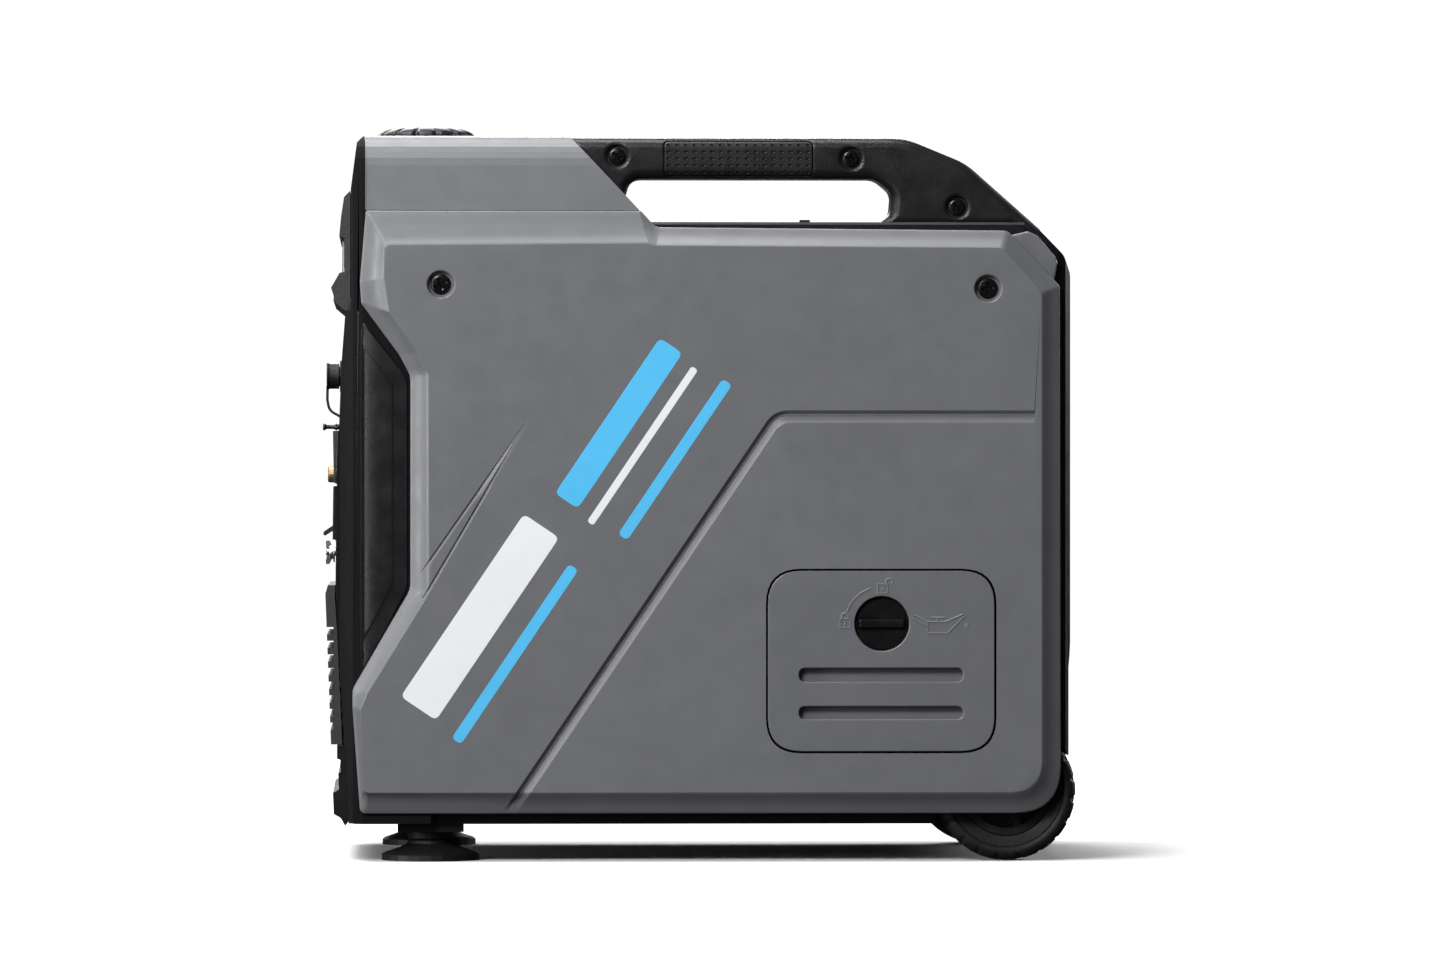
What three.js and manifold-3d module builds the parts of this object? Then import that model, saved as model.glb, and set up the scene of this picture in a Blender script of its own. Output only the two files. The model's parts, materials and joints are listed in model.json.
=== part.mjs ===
// Portable inverter generator on two wheels and two feet, in millimetres.
// +Z is up, the front (control end) faces -X, the right-hand side faces -Y,
// and the origin is on the floor below the middle of the machine.

import * as THREE from "three";
import Module from "manifold-3d";
import { mergeVertices } from "three/addons/utils/BufferGeometryUtils.js";

const wasm = await Module();
wasm.setup();

// ---------------------------------------------------------------- dimensions

const GAP = 0.4;
const WALL = 3;

// Half widths, measured out from the middle plane.
const FACE_Y = 220;
const EDGE_Y = 209;
const RIM_Y = 199;
const CHEEK_Y = 206;
const SHELL_Y = 198;

// Side panel: outer outline and the inner line of its bevel, [x, z, corner radius].
const PANEL_OUTLINE = [
  [-267.2, 521.2, 2], [-272, 464, 2], [-270.9, 446.8, 5], [-240.8, 406, 5], [-231.7, 389, 18],
  [-231.7, 218, 20], [-278, 138, 12], [-278, 124, 8], [-271.8, 38.4, 6], [289.8, 38.4, 37],
  [289.1, 461.2, 6], [247.2, 505.6, 8], [-35, 508, 10], [-47, 521.2, 3],
];
const PANEL_FACE = [
  [-252, 492.8, 3], [-252, 467, 2], [-248, 440, 5], [-225.6, 408, 5], [-216.8, 391, 12],
  [-216.8, 214, 12], [-266, 134.4, 10], [-271.2, 121.6, 8], [-268.8, 56, 4], [273.6, 56, 25],
  [273.6, 455.2, 5], [242.4, 491.2, 6], [-35, 492.6, 4], [-41.6, 494.4, 3],
];
const PANEL_FACET = [
  [247.7, 501.5], [255, 494.6], [284.4, 463.4], [287.6, 479.8, 3], [285.6, 485, 3], [271.4, 501.8, 4],
  [263.7, 505.2, 3],
];
const FACET_Y = 204;
const SCREWS = [[-207.2, 462], [230.9, 459]];
const SCREW_WELL_R = 10.7;
const GROOVE = [[276, 356.4], [62, 356.4], [-152, 40]];
const GROOVE_WIDTH = 8;
const CREASE = [[-232, 219], [-138.4, 353.6], [-222, 212]];

// Oil door in the right panel, and its quarter-turn knob.
const DOOR = { x0: 54.4, x1: 236, z0: 88.4, z1: 233, r: 27, gap: 1.6 };
const DOOR_SLOTS_Z = [[144, 155.2], [114, 124.5]];
const DOOR_SLOTS_X = [79.2, 210.9];
const KNOB = { x: 145.8, z: 190.6, r: 21.2 };

// Handle, along the middle plane.
const HANDLE_HALF = 22;
const HANDLE_ARCH = [
  [-107.6, 586.7, 3], [175, 586.7, 60], [225.3, 566, 60], [287, 511.3, 3], [287, 495.4, 1],
  [274.6, 507.4, 2], [262, 513.2, 2], [149, 513.2, 3], [162.5, 524, 9], [164, 541, 12],
  [150, 552.6, 16], [-50.4, 552.6, 12], [-56.4, 532, 1],
];
const HANDLE_SCREWS = [[-61.7, 571.7], [130.5, 569.7], [217.6, 530]];
const GRIP = { x0: -22.7, x1: 98.8, z0: 555.4, z1: 583.4, deep: 1.2 };

const CAP = { x: -218.3, r: 40.9, top: 596 };
const WHEEL = { x: 247.2, r: 56, rim: 36, y0: 160, y1: 198 };
const FOOT = { x: -215.2, y: 165, r: 39.4 };
const WELL_GAP = 2;
const AXLE_R = 6;

// Pieces on the front face: y is sideways, z is height.
const BUTTON = { y: 60, z: 487 };
const ECO = { y: 110, z: 487 };
const SOCKET = { y: 30, z: 391.2, r: 8.2 };
const PULL = { y: -15, z: 349.2 };
const UPPER = { y: -95, z0: 302.4, z1: 345.6, half: 30 };
const LOWER = { y: -95, z0: 256.8, z1: 300.8, half: 34 };
const GAS = { y: 95, z: 310.6 };
const GROUND = { y: -165, z: 247.6 };
const GRILLE = { z0: 92.4, z1: 220.8, half: 150, slots: 8, first: 104, pitch: 11, high: 6 };

// Exhaust outlet in the rear face, crankshaft centre line, and the engine's oil filler.
const TAILPIPE = { y: 62, z: 213 };
const CRANK = { y: 0, z: 142 };
const FILLER = { x: 140, z: 128 };
const CYLINDER_X = 120;

// Front face of the machine, seen from the side, [x, z].
const FRONT_LINE = [
  [-268.8, 582], [-274.4, 576], [-279.3, 538.4], [-279.3, 441.6], [-283.5, 441.2],
  [-286.7, 399.6], [-290.9, 289.6], [-291.6, 221.6], [-289.6, 180.8], [-285, 102.4],
  [-281, 30.4],
];

// ----------------------------------------------------------------- materials

function plastic(name, color, roughness) {
  return new THREE.MeshStandardMaterial({ name, color, roughness, metalness: 0 });
}

function metal(name, color, roughness) {
  return new THREE.MeshStandardMaterial({ name, color, roughness, metalness: 1 });
}

const GREY = plastic("grey_plastic", 0x6c6d70, 0.5);
const BLACK = plastic("black_plastic", 0x161618, 0.55);
const TRIM = plastic("trim_plastic", 0x2c2e31, 0.6);
const RUBBER = plastic("rubber", 0x121212, 0.85);
const LENS = plastic("display_lens", 0xb9c3c8, 0.15);
const RED = plastic("button_plastic", 0x9c1f1c, 0.4);
const STEEL = metal("steel", 0x9a9ca0, 0.35);
const DARK_STEEL = metal("dark_steel", 0x2a2a2c, 0.45);
const BRASS = metal("brass", 0xb08d57, 0.35);
const ALUMINIUM = metal("aluminium", 0xa9acb0, 0.5);
const IRON = metal("cast_iron", 0x55565a, 0.7);

// ------------------------------------------------------------ solid modelling

// Closed body from triangles, turned right side out.
function closed(positions, index) {
  let volume = 0;
  const [a, b, c] = [new THREE.Vector3(), new THREE.Vector3(), new THREE.Vector3()];
  for (let i = 0; i < index.length; i += 3) {
    a.fromArray(positions, 3 * index[i]);
    b.fromArray(positions, 3 * index[i + 1]);
    c.fromArray(positions, 3 * index[i + 2]);
    volume += a.dot(b.cross(c));
  }
  const triVerts = new Uint32Array(index);
  if (volume < 0) {
    triVerts.reverse();
  }
  return new wasm.Manifold(new wasm.Mesh({
    numProp: 3, vertProperties: new Float32Array(positions), triVerts,
  }));
}

function solid(geometry) {
  geometry.deleteAttribute("normal");
  geometry.deleteAttribute("uv");
  const welded = mergeVertices(geometry, 1e-4);
  return closed(welded.attributes.position.array, welded.index.array);
}

function part(name, body, material) {
  const { vertProperties, triVerts } = body.getMesh();
  const geometry = new THREE.BufferGeometry();
  geometry.setAttribute("position", new THREE.BufferAttribute(vertProperties, 3));
  geometry.setIndex(new THREE.BufferAttribute(triVerts, 1));
  geometry.computeVertexNormals();
  const mesh = new THREE.Mesh(geometry, material);
  mesh.name = name;
  return mesh;
}

function block(x0, x1, y0, y1, z0, z1) {
  const geometry = new THREE.BoxGeometry(x1 - x0, y1 - y0, z1 - z0);
  geometry.translate((x0 + x1) / 2, (y0 + y1) / 2, (z0 + z1) / 2);
  return solid(geometry);
}

// Flat outline swept straight: prismY takes [x, z], prismX [y, z], prismZ [x, y].
function sweep(points, depth) {
  const shape = new THREE.Shape(points.map(([a, b]) => new THREE.Vector2(a, b)));
  return new THREE.ExtrudeGeometry(shape, { depth, bevelEnabled: false });
}

function prismZ(points, z0, z1) {
  return solid(sweep(points, z1 - z0).translate(0, 0, z0));
}

function prismY(points, y0, y1) {
  return solid(sweep(points, y1 - y0).rotateX(Math.PI / 2).translate(0, y1, 0));
}

function prismX(points, x0, x1) {
  const along = sweep(points, x1 - x0).rotateX(Math.PI / 2).rotateZ(Math.PI / 2);
  return solid(along.translate(x0, 0, 0));
}

// Turned shape: profile is [radius, distance along the axis].
function turned(profile, segments = 32) {
  const points = profile.map(([r, h]) => new THREE.Vector2(r, h));
  return new THREE.LatheGeometry(points, segments);
}

function turnedZ(profile, x, y, segments) {
  return solid(turned(profile, segments).rotateX(Math.PI / 2).translate(x, y, 0));
}

function turnedY(profile, x, z, segments) {
  return solid(turned(profile, segments).translate(x, 0, z));
}

function turnedX(profile, y, z, segments) {
  return solid(turned(profile, segments).rotateZ(-Math.PI / 2).translate(0, y, z));
}

function rod(r, from, to) {
  return [[0, from], [r, from], [r, to], [0, to]];
}

function tube(inner, outer, from, to) {
  return [[inner, from], [outer, from], [outer, to], [inner, to], [inner, from]];
}

function unite(...bodies) {
  return bodies.reduce((sum, body) => sum.add(body));
}

function cut(body, ...tools) {
  return tools.reduce((rest, tool) => rest.subtract(tool), body);
}

// Outline with each [a, b, radius] corner rounded by an arc of steps segments.
function rounded(corners, steps = 4) {
  const outline = [];
  corners.forEach(([a, b, radius = 0], index) => {
    const corner = new THREE.Vector2(a, b);
    const before = corners[(index + corners.length - 1) % corners.length];
    const after = corners[(index + 1) % corners.length];
    const back = new THREE.Vector2(before[0], before[1]).sub(corner);
    const ahead = new THREE.Vector2(after[0], after[1]).sub(corner);
    const half = Math.abs(back.angleTo(ahead)) / 2;
    const reach = Math.min(radius / Math.tan(half), back.length() / 2, ahead.length() / 2);
    const start = corner.clone().addScaledVector(back.normalize(), reach);
    const end = corner.clone().addScaledVector(ahead.normalize(), reach);
    for (let step = 0; step <= steps; step += 1) {
      const t = step / steps;
      const bend = start.clone().lerp(corner, t).lerp(corner.clone().lerp(end, t), t);
      outline.push([bend.x, bend.y]);
    }
  });
  return outline;
}

function roundedBox(a0, a1, b0, b1, r, steps) {
  return rounded([[a0, b0, r], [a1, b0, r], [a1, b1, r], [a0, b1, r]], steps);
}

// Outline, or corner list, moved outwards by distance (inwards when negative).
function offset(outline, distance) {
  const area = outline.reduce((sum, [a, b], index) => {
    const [c, d] = outline[(index + 1) % outline.length];
    return sum + a * d - c * b;
  }, 0);
  const side = Math.sign(area) * distance;
  return outline.map(([a, b, radius], index) => {
    const [pa, pb] = outline[(index + outline.length - 1) % outline.length];
    const [na, nb] = outline[(index + 1) % outline.length];
    const first = new THREE.Vector2(b - pb, pa - a).normalize();
    const second = new THREE.Vector2(nb - b, a - na).normalize();
    const normal = first.clone().add(second).normalize();
    const stretch = side / Math.max(normal.dot(first), 0.5);
    return [a + normal.x * stretch, b + normal.y * stretch, radius];
  });
}

// Closed body through matching outlines, each [outline, y], capped at both ends.
function loft(layers) {
  const count = layers[0][0].length;
  const positions = layers.flatMap(([outline, y]) => outline.flatMap(([x, z]) => [x, y, z]));
  const index = [];
  for (let layer = 0; layer + 1 < layers.length; layer += 1) {
    for (let i = 0; i < count; i += 1) {
      const a = layer * count + i;
      const b = layer * count + ((i + 1) % count);
      index.push(a, b, b + count, a, b + count, a + count);
    }
  }
  [0, layers.length - 1].forEach((layer) => {
    const flat = layers[layer][0].map(([x, z]) => new THREE.Vector2(x, z));
    THREE.ShapeUtils.triangulateShape(flat, []).forEach(([a, b, c]) => {
      const base = layer * count;
      index.push(...(layer === 0 ? [base + a, base + c, base + b] : [base + a, base + b, base + c]));
    });
  });
  return closed(positions, index);
}

function mirrored(body) {
  return body.mirror([0, 1, 0]);
}

// ------------------------------------------------------------------ the shell

// Side panel: a dish with a bevelled border, made for the -Y side.
function panelDish() {
  const outer = rounded(PANEL_OUTLINE, 2);
  const face = rounded(PANEL_FACE, 2);
  const shell = loft([[outer, -RIM_Y], [outer, -EDGE_Y], [face, -FACE_Y]]);
  const innerEdge = rounded(offset(PANEL_OUTLINE, -WALL), 1);
  const innerFace = rounded(offset(PANEL_FACE, -WALL / 2), 1);
  const hollow = loft([
    [innerEdge, -RIM_Y + 1], [innerEdge, -EDGE_Y + 1], [innerFace, -FACE_Y + WALL],
  ]);
  let dish = shell.subtract(hollow);
  dish = dish.add(prismY(rounded(PANEL_FACET, 2), -FACET_Y, -RIM_Y));
  SCREWS.forEach(([x, z]) => {
    dish = dish.add(turnedY(rod(SCREW_WELL_R + WALL, -FACE_Y + 2, -FACE_Y + 10), x, z, 16));
    dish = dish.subtract(turnedY(rod(SCREW_WELL_R, -FACE_Y - 1, -FACE_Y + 6), x, z, 16));
    dish = dish.subtract(turnedY(rod(3.2, -FACE_Y, -FACE_Y + 12), x, z, 8));
  });
  return cut(dish, ...panelGrooves());
}

function panelGrooves() {
  const deep = FACE_Y - 1.6;
  const [right, bend, left] = GROOVE.map(([x, z]) => new THREE.Vector2(x, z));
  const slope = left.clone().sub(bend).normalize();
  const across = new THREE.Vector2(-slope.y, slope.x).multiplyScalar(GROOVE_WIDTH / 2);
  const half = GROOVE_WIDTH / 2;
  const trench = [
    [right.x, right.y + half], [right.x, right.y - half],
    [bend.x + 2, bend.y - half],
    [left.x + across.x, left.y + across.y], [left.x - across.x, left.y - across.y],
    [bend.x - 3, bend.y + half],
  ];
  return [prismY(trench, -FACE_Y - 1, -deep), prismY(CREASE, -FACE_Y - 1, -deep - 0.6)];
}

function doorOutline(grow) {
  return roundedBox(DOOR.x0 - grow, DOOR.x1 + grow, DOOR.z0 - grow, DOOR.z1 + grow, DOOR.r, 5);
}

function rightPanel() {
  const opening = prismY(doorOutline(DOOR.gap), -FACE_Y - 1, -FACE_Y + 8);
  return panelDish().subtract(opening);
}

function oilDoor() {
  let door = prismY(doorOutline(0), -FACE_Y, -FACE_Y + WALL);
  door = door.add(turnedY(rod(KNOB.r + 4, -FACE_Y + 1, -FACE_Y + 8), KNOB.x, KNOB.z, 28));
  door = door.subtract(turnedY(rod(KNOB.r + 1, -FACE_Y - 1, -FACE_Y + 6), KNOB.x, KNOB.z, 28));
  door = door.subtract(turnedY(rod(8, -FACE_Y, -FACE_Y + 12), KNOB.x, KNOB.z, 20));
  DOOR_SLOTS_Z.forEach(([z0, z1]) => {
    const slot = roundedBox(DOOR_SLOTS_X[0], DOOR_SLOTS_X[1], z0, z1, (z1 - z0) / 2, 4);
    door = door.subtract(prismY(slot, -FACE_Y - 1, -FACE_Y + 1.6));
  });
  return door;
}

function oilDoorKnob() {
  const disc = turnedY(rod(KNOB.r, -FACE_Y + 3, -FACE_Y + 5.6), KNOB.x, KNOB.z, 28);
  const grip = prismY(
    roundedBox(KNOB.x - 18.4, KNOB.x + 18.4, KNOB.z - 3.6, KNOB.z + 3.6, 3, 3),
    -FACE_Y + 0.2, -FACE_Y + 3.5,
  );
  const shaft = turnedY(rod(7.6, -FACE_Y + 5, -FACE_Y + 11), KNOB.x, KNOB.z, 20);
  const latch = block(
    KNOB.x - 6, KNOB.x + 6, -FACE_Y + 8.5, -FACE_Y + 11, KNOB.z - 9, KNOB.z + 36,
  );
  return unite(disc, grip, shaft, latch);
}

function panelScrew(x, z) {
  const profile = [
    [0, -219.6], [5, -219.4], [8, -217.6], [8, -214.4], [2.8, -214.4], [2.8, -204], [0, -204],
  ];
  return turnedY(profile, x, z, 12);
}

// Cross-section of the top cover and of the black strip in front of it, [y, z].
function hoodSection(shrink) {
  const y = 205 - shrink;
  return rounded([[-y, 500], [y, 500], [y, 582 - shrink, 24], [-y, 582 - shrink, 24]], 8);
}

function topCover() {
  const side = rounded([[-267.8, 521.8], [-48, 521.8], [-104.6, 582, 3], [-267.8, 582]], 2);
  const inside = [[-264.8, 500], [-51, 500], [-51, 521], [-105, 579], [-264.8, 579]];
  let cover = prismY(side, -215, 215).intersect(prismX(hoodSection(0), -300, 0));
  cover = cover.subtract(prismY(inside, -215, 215).intersect(prismX(hoodSection(WALL), -300, 0)));
  cover = cover.subtract(turnedZ(rod(CAP.r + 2.5, 560, 600), CAP.x, 0, 28));
  return cover.subtract(block(-120, -50, -11, 11, 539, 563));
}

function frontShell() {
  const outline = [...FRONT_LINE, [-215, 30.4], [-215, 521], [-268.3, 521], [-268.3, 582]];
  const rounding = rounded([
    [-291.6, -CHEEK_Y, 22], [-200, -CHEEK_Y], [-200, CHEEK_Y], [-291.6, CHEEK_Y, 22],
  ], 5);
  const inside = [...FRONT_LINE.slice(2).map(([x, z]) => [x + WALL, z]), [-200, 20], [-200, 518]];
  inside.splice(9, 0, [-278, 20]);
  let shell = prismY(outline, -CHEEK_Y, CHEEK_Y).intersect(prismZ(rounding, 0, 600));
  const crown = rounded([
    [-CHEEK_Y, 0], [CHEEK_Y, 0], [CHEEK_Y, 582, 24], [-CHEEK_Y, 582, 24],
  ], 8);
  shell = shell.intersect(prismX(crown, -310, -200));
  shell = shell.subtract(prismY(inside, -SHELL_Y + WALL, SHELL_Y - WALL));
  shell = shell.subtract(block(-230, -200, -250, 250, 518, 600));
  const panel = offset(rounded(PANEL_OUTLINE, 2), 0.6);
  shell = shell.subtract(prismY(panel, -CHEEK_Y - 5, -SHELL_Y));
  shell = shell.subtract(prismY(panel, SHELL_Y, CHEEK_Y + 5));
  return cut(shell, ...frontHoles());
}

function frontHoles() {
  return [
    turnedX(rod(SOCKET.r + 0.4, -300, -270), SOCKET.y, SOCKET.z, 24),
    turnedX(rod(2.4, -300, -270), PULL.y, PULL.z, 12),
    turnedX(rod(6, -300, -270), GAS.y, GAS.z, 16),
    turnedX(rod(3.4, -300, -270), GROUND.y, GROUND.z, 12),
    block(-300, -270, UPPER.y - 18, UPPER.y + 18, UPPER.z0 + 6, UPPER.z1 - 6),
    block(-300, -270, LOWER.y - 26, LOWER.y + 26, LOWER.z0 + 8, LOWER.z1 - 8),
  ];
}

function rearShell() {
  const outline = rounded([
    [222, 44], [296.4, 44], [297.6, 87], [297.6, 155], [299.6, 175], [299.6, 470, 10],
    [293.6, 486, 10], [273.6, 506.4, 4], [262, 508], [222, 504],
  ], 2);
  const inside = rounded([
    [200, 20], [293.4, 20], [294.6, 87], [294.6, 155], [296.6, 175], [296.6, 469],
    [291, 484], [272, 503], [200, 501],
  ], 1);
  const plan = rounded([
    [200, -SHELL_Y], [299.8, -SHELL_Y, 20], [299.8, SHELL_Y, 20], [200, SHELL_Y],
  ], 4);
  const planInside = rounded([
    [190, -SHELL_Y + WALL], [296.8, -SHELL_Y + WALL, 18], [296.8, SHELL_Y - WALL, 18],
    [190, SHELL_Y - WALL],
  ], 4);
  const body = prismY(outline, -SHELL_Y, SHELL_Y).intersect(prismZ(plan, 0, 600));
  const hollow = prismY(inside, -SHELL_Y, SHELL_Y).intersect(prismZ(planInside, 0, 600));
  const arch = turnedY(rod(WHEEL.r + WELL_GAP + WALL, -SHELL_Y, -152), WHEEL.x, WHEEL.r, 28).intersect(body);
  const well = turnedY(rod(WHEEL.r + WELL_GAP, -SHELL_Y - 10, -155), WHEEL.x, WHEEL.r, 28);
  const hole = turnedY(rod(AXLE_R + 1, -160, -140), WHEEL.x, WHEEL.r, 20);
  const shell = unite(body.subtract(hollow), arch, mirrored(arch));
  return cut(
    shell, well, mirrored(well), hole, mirrored(hole), block(290, 310, -108, 108, 170, 257),
    block(200, 261.8, -210, 210, 494, 520),
  );
}

// Bulged, louvred cover over the exhaust opening in the rear shell.
function rearCover() {
  const profile = [
    [299.9, 160], [300.6, 160], [302.2, 180], [303, 200], [303.2, 216], [302.9, 232],
    [302, 248], [300.6, 266], [299.9, 266],
  ];
  let cover = prismY(profile, -120, 120);
  for (let row = 0; row < 6; row += 1) {
    const z = 174 + 14 * row;
    cover = cover.subtract(block(290, 310, -100, 20, z, z + 7));
  }
  return cover.subtract(turnedX(rod(24, 290, 310), TAILPIPE.y, TAILPIPE.z, 28));
}

// Black deck between the side panels, under the handle.
function deckCover() {
  const [edge, low, high, bend] = [198.4, 498, 512.6, 2];
  const section = [
    [-edge, low], [-edge, high - bend], [-edge + bend, high], [edge - bend, high],
    [edge, high - bend], [edge, low], [edge - WALL, low], [edge - WALL, high - WALL],
    [-edge + WALL, high - WALL], [-edge + WALL, low],
  ];
  const deck = prismX(section, -46.5, 261.4);
  return deck.add(block(83, 91, -152, -140, high - 2, high + WALL));
}

function baseTray() {
  const plan = [
    [-277.5, -190], [-270, -194.5], [190, -194.5], [190, -188], [176, -151], [292, -151],
    [292, 151], [176, 151], [190, 188], [190, 194.5], [-270, 194.5], [-277.5, 190],
  ];
  const side = [[-278, 29.6], [193.6, 29.6], [202.4, 34.6], [292.5, 34.6], [292.5, 58], [-278, 58]];
  const shell = prismZ(plan, 20, 60).intersect(prismY(side, -200, 200));
  const inside = prismZ(offset(plan, -WALL), 37.6, 70);
  let tray = shell.subtract(inside);
  [-1, 1].forEach((way) => {
    const y = way * FOOT.y;
    tray = tray.add(block(FOOT.x - 26.6, FOOT.x + 26.6, y - 26, y + 26, 23.2, 31));
    const bearing = block(WHEEL.x - 14, WHEEL.x + 14, way * 142 - 7, way * 142 + 7, 36, 70);
    tray = tray.add(bearing);
  });
  return tray.subtract(turnedY(rod(AXLE_R + GAP, -151.5, 151.5), WHEEL.x, WHEEL.r, 20));
}

// ------------------------------------------------------------------- handle

function handleHalf() {
  const arch = [...HANDLE_ARCH].reverse();
  const layer = (inset, y) => [rounded(offset(arch, -inset), 3), y];
  let half = loft([
    layer(0, -GAP / 2), layer(0, -HANDLE_HALF + 7), layer(1, -HANDLE_HALF + 2.2),
    layer(3, -HANDLE_HALF),
  ]);
  half = half.add(block(-116, -60, -10, -GAP / 2, 540, 562));
  const pad = prismY(
    roundedBox(GRIP.x0 - GAP, GRIP.x1 + GAP, GRIP.z0 - GAP, GRIP.z1 + GAP, 4, 2),
    -HANDLE_HALF - 5, -HANDLE_HALF + GRIP.deep + 0.4,
  );
  half = half.subtract(pad);
  HANDLE_SCREWS.forEach(([x, z]) => {
    half = half.subtract(turnedY(rod(8, -HANDLE_HALF - 2, -HANDLE_HALF + 5), x, z, 14));
    half = half.subtract(turnedY(rod(3.4, -HANDLE_HALF - 2, 1), x, z, 8));
  });
  return half;
}

function gripPad() {
  const outline = roundedBox(GRIP.x0, GRIP.x1, GRIP.z0, GRIP.z1, 4, 2);
  return prismY(outline, -HANDLE_HALF - 0.4, -HANDLE_HALF + GRIP.deep);
}

function handleBolt(x, z) {
  const y = HANDLE_HALF;
  const profile = [
    [0, -y + 0.8], [7, -y + 1.6], [7, -y + 4.6], [3, -y + 4.6],
    [3, y - 4.6], [7, y - 4.6], [7, y - 1.6], [0, y - 0.8],
  ];
  return turnedY(profile, x, z, 10);
}

// ----------------------------------------------------- fuel cap, tank, wheels

function fuelCap() {
  const { x, r, top } = CAP;
  const profile = [
    [0, top], [r - 14, top - 0.6], [r - 5, top - 3], [r - 1, top - 7], [r, top - 13.6],
    [r - 4, top - 13.6], [r - 5, top - 6], [r - 12, top - 3.6], [0, top - 3.6],
  ];
  let cap = turnedZ(profile, x, 0, 24);
  for (let lobe = 0; lobe < 12; lobe += 1) {
    const angle = (lobe * Math.PI) / 6;
    const [cx, cy] = [x + (r + 2.6) * Math.cos(angle), (r + 2.6) * Math.sin(angle)];
    cap = cap.subtract(turnedZ(rod(4.4, top - 20, top + 2), cx, cy, 8));
  }
  return cap;
}

function fuelCapPlug() {
  const { x, top } = CAP;
  const profile = [
    [0, 560], [24.4, 560], [24.4, top - 10.6], [29.5, top - 10.6], [29.5, top - 7.6],
    [4, top - 7.6], [4, top - 4.2], [0, top - 4.2],
  ];
  return turnedZ(profile, x, 0, 28);
}

function fuelTank() {
  const profile = rounded([
    [-257, 402, 12], [44, 402, 12], [44, 494, 10], [-118, 494, 6], [-128, 556, 10],
    [-257, 556, 12],
  ], 3);
  const section = rounded([[-168, 395, 12], [168, 395, 12], [168, 556, 16], [-168, 556, 16]], 3);
  const shoulder = prismX(section, -260, 50);
  const tank = prismY(profile, -168, 168).intersect(shoulder);
  return cut(
    tank.add(turnedZ(rod(30, 550, 584), CAP.x, 0, 28)),
    turnedZ(rod(25, 545, 590), CAP.x, 0, 28),
  );
}

function wheelRim() {
  const { x, r, rim, y0, y1 } = WHEEL;
  const middle = (y0 + y1) / 2;
  let wheel = turnedY(tube(rim - 6, rim, -y1 + 4, -y0 - 4), x, r, 30);
  wheel = wheel.add(turnedY(rod(14, -y1 + 2, -y0 - 2), x, r, 16));
  wheel = wheel.add(turnedY(rod(rim - 3, -middle - 2, -middle + 2), x, r, 30));
  for (let spoke = 0; spoke < 5; spoke += 1) {
    const bar = block(11, rim - 3, -y1 + 7, -y0 - 7, -3, 3);
    wheel = wheel.add(bar.rotate([0, spoke * 72, 0]).translate([x, 0, r]));
  }
  return wheel.subtract(turnedY(rod(AXLE_R + GAP, -y1 - 5, -y0 + 5), x, r, 14));
}

function tyre() {
  const { x, r, rim, y0, y1 } = WHEEL;
  const inner = rim + GAP;
  const profile = [
    [inner, -y1 + 5], [r - 12, -y1 + 1], [r - 6, -y1], [r - 1.6, -y1 + 3], [r, -y1 + 8],
    [r, -y0 - 8], [r - 1.6, -y0 - 3], [r - 6, -y0], [r - 12, -y0 - 1], [inner, -y0 - 5],
    [inner, -y1 + 5],
  ];
  return turnedY(profile, x, r, 36);
}

function axle() {
  const end = WHEEL.y1;
  const profile = [
    [0, -end - 2], [9, -end - 2], [9, -end + 1.5], [AXLE_R, -end + 1.5],
    [AXLE_R, end - 1.5], [9, end - 1.5], [9, end + 2], [0, end + 2],
  ];
  return turnedY(profile, WHEEL.x, WHEEL.r, 20);
}

function foot() {
  const { x, y, r } = FOOT;
  const profile = [
    [0, 0], [r, 0], [r, 4.6], [r - 3, 6.6], [25, 10.4], [19, 13.4], [18.4, 15.8], [17, 16.6],
    [18.4, 17.6], [18.8, 22.8], [0, 22.8],
  ];
  return turnedZ(profile, x, -y, 26);
}

// ---------------------------------------------------------- front end pieces

function controlPanel() {
  const profile = [
    [-279.8, 538], [-284.8, 532.8], [-287.2, 516.8], [-288.6, 501.6], [-284.4, 500.6],
    [-284.4, 473], [-288.4, 472], [-292, 465.6], [-295.2, 460], [-292.8, 456],
    [-293.3, 449.6], [-284.3, 442], [-279.8, 442],
  ];
  return cut(
    prismY(profile, -182, 182),
    turnedX(rod(9.4, -290, -280.6), BUTTON.y, BUTTON.z, 24),
    block(-290, -280.6, ECO.y - 12, ECO.y + 12, ECO.z - 8, ECO.z + 8),
  );
}

function displayLens() {
  return block(-286.2, -284.8, -150, -20, 476, 498);
}

function startButton() {
  return turnedX(rod(8.8, -287.6, -283.2), BUTTON.y, BUTTON.z, 24);
}

function ecoSwitch() {
  const profile = [[-287, 494.2], [-286, 487], [-287, 479.8], [-283, 479.8], [-283, 494.2]];
  return prismY(profile, ECO.y - 11, ECO.y + 11);
}

function dcSocket() {
  const body = turnedX(rod(SOCKET.r, -297, -265), SOCKET.y, SOCKET.z, 24);
  const bore = turnedX(rod(5.4, -298, -272), SOCKET.y, SOCKET.z, 20);
  const flange = turnedX(rod(13, -289.2, -287.6), SOCKET.y, SOCKET.z, 24);
  return unite(body, flange).subtract(bore);
}

function dcSocketCap() {
  const profile = [
    [0, -299.6], [11, -299.6], [11, -298.6], [10.4, -298.4], [10.4, -289.6],
    [SOCKET.r + GAP, -289.6], [SOCKET.r + GAP, -297.4], [0, -297.4],
  ];
  return turnedX(profile, SOCKET.y, SOCKET.z, 24);
}

function pullKnob() {
  const profile = [
    [0, -303.2], [2.6, -303.2], [2.7, -301.4], [1.7, -300.6], [2.1, -293], [2.1, -268], [0, -268],
  ];
  return turnedX(profile, PULL.y, PULL.z, 12);
}

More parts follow.
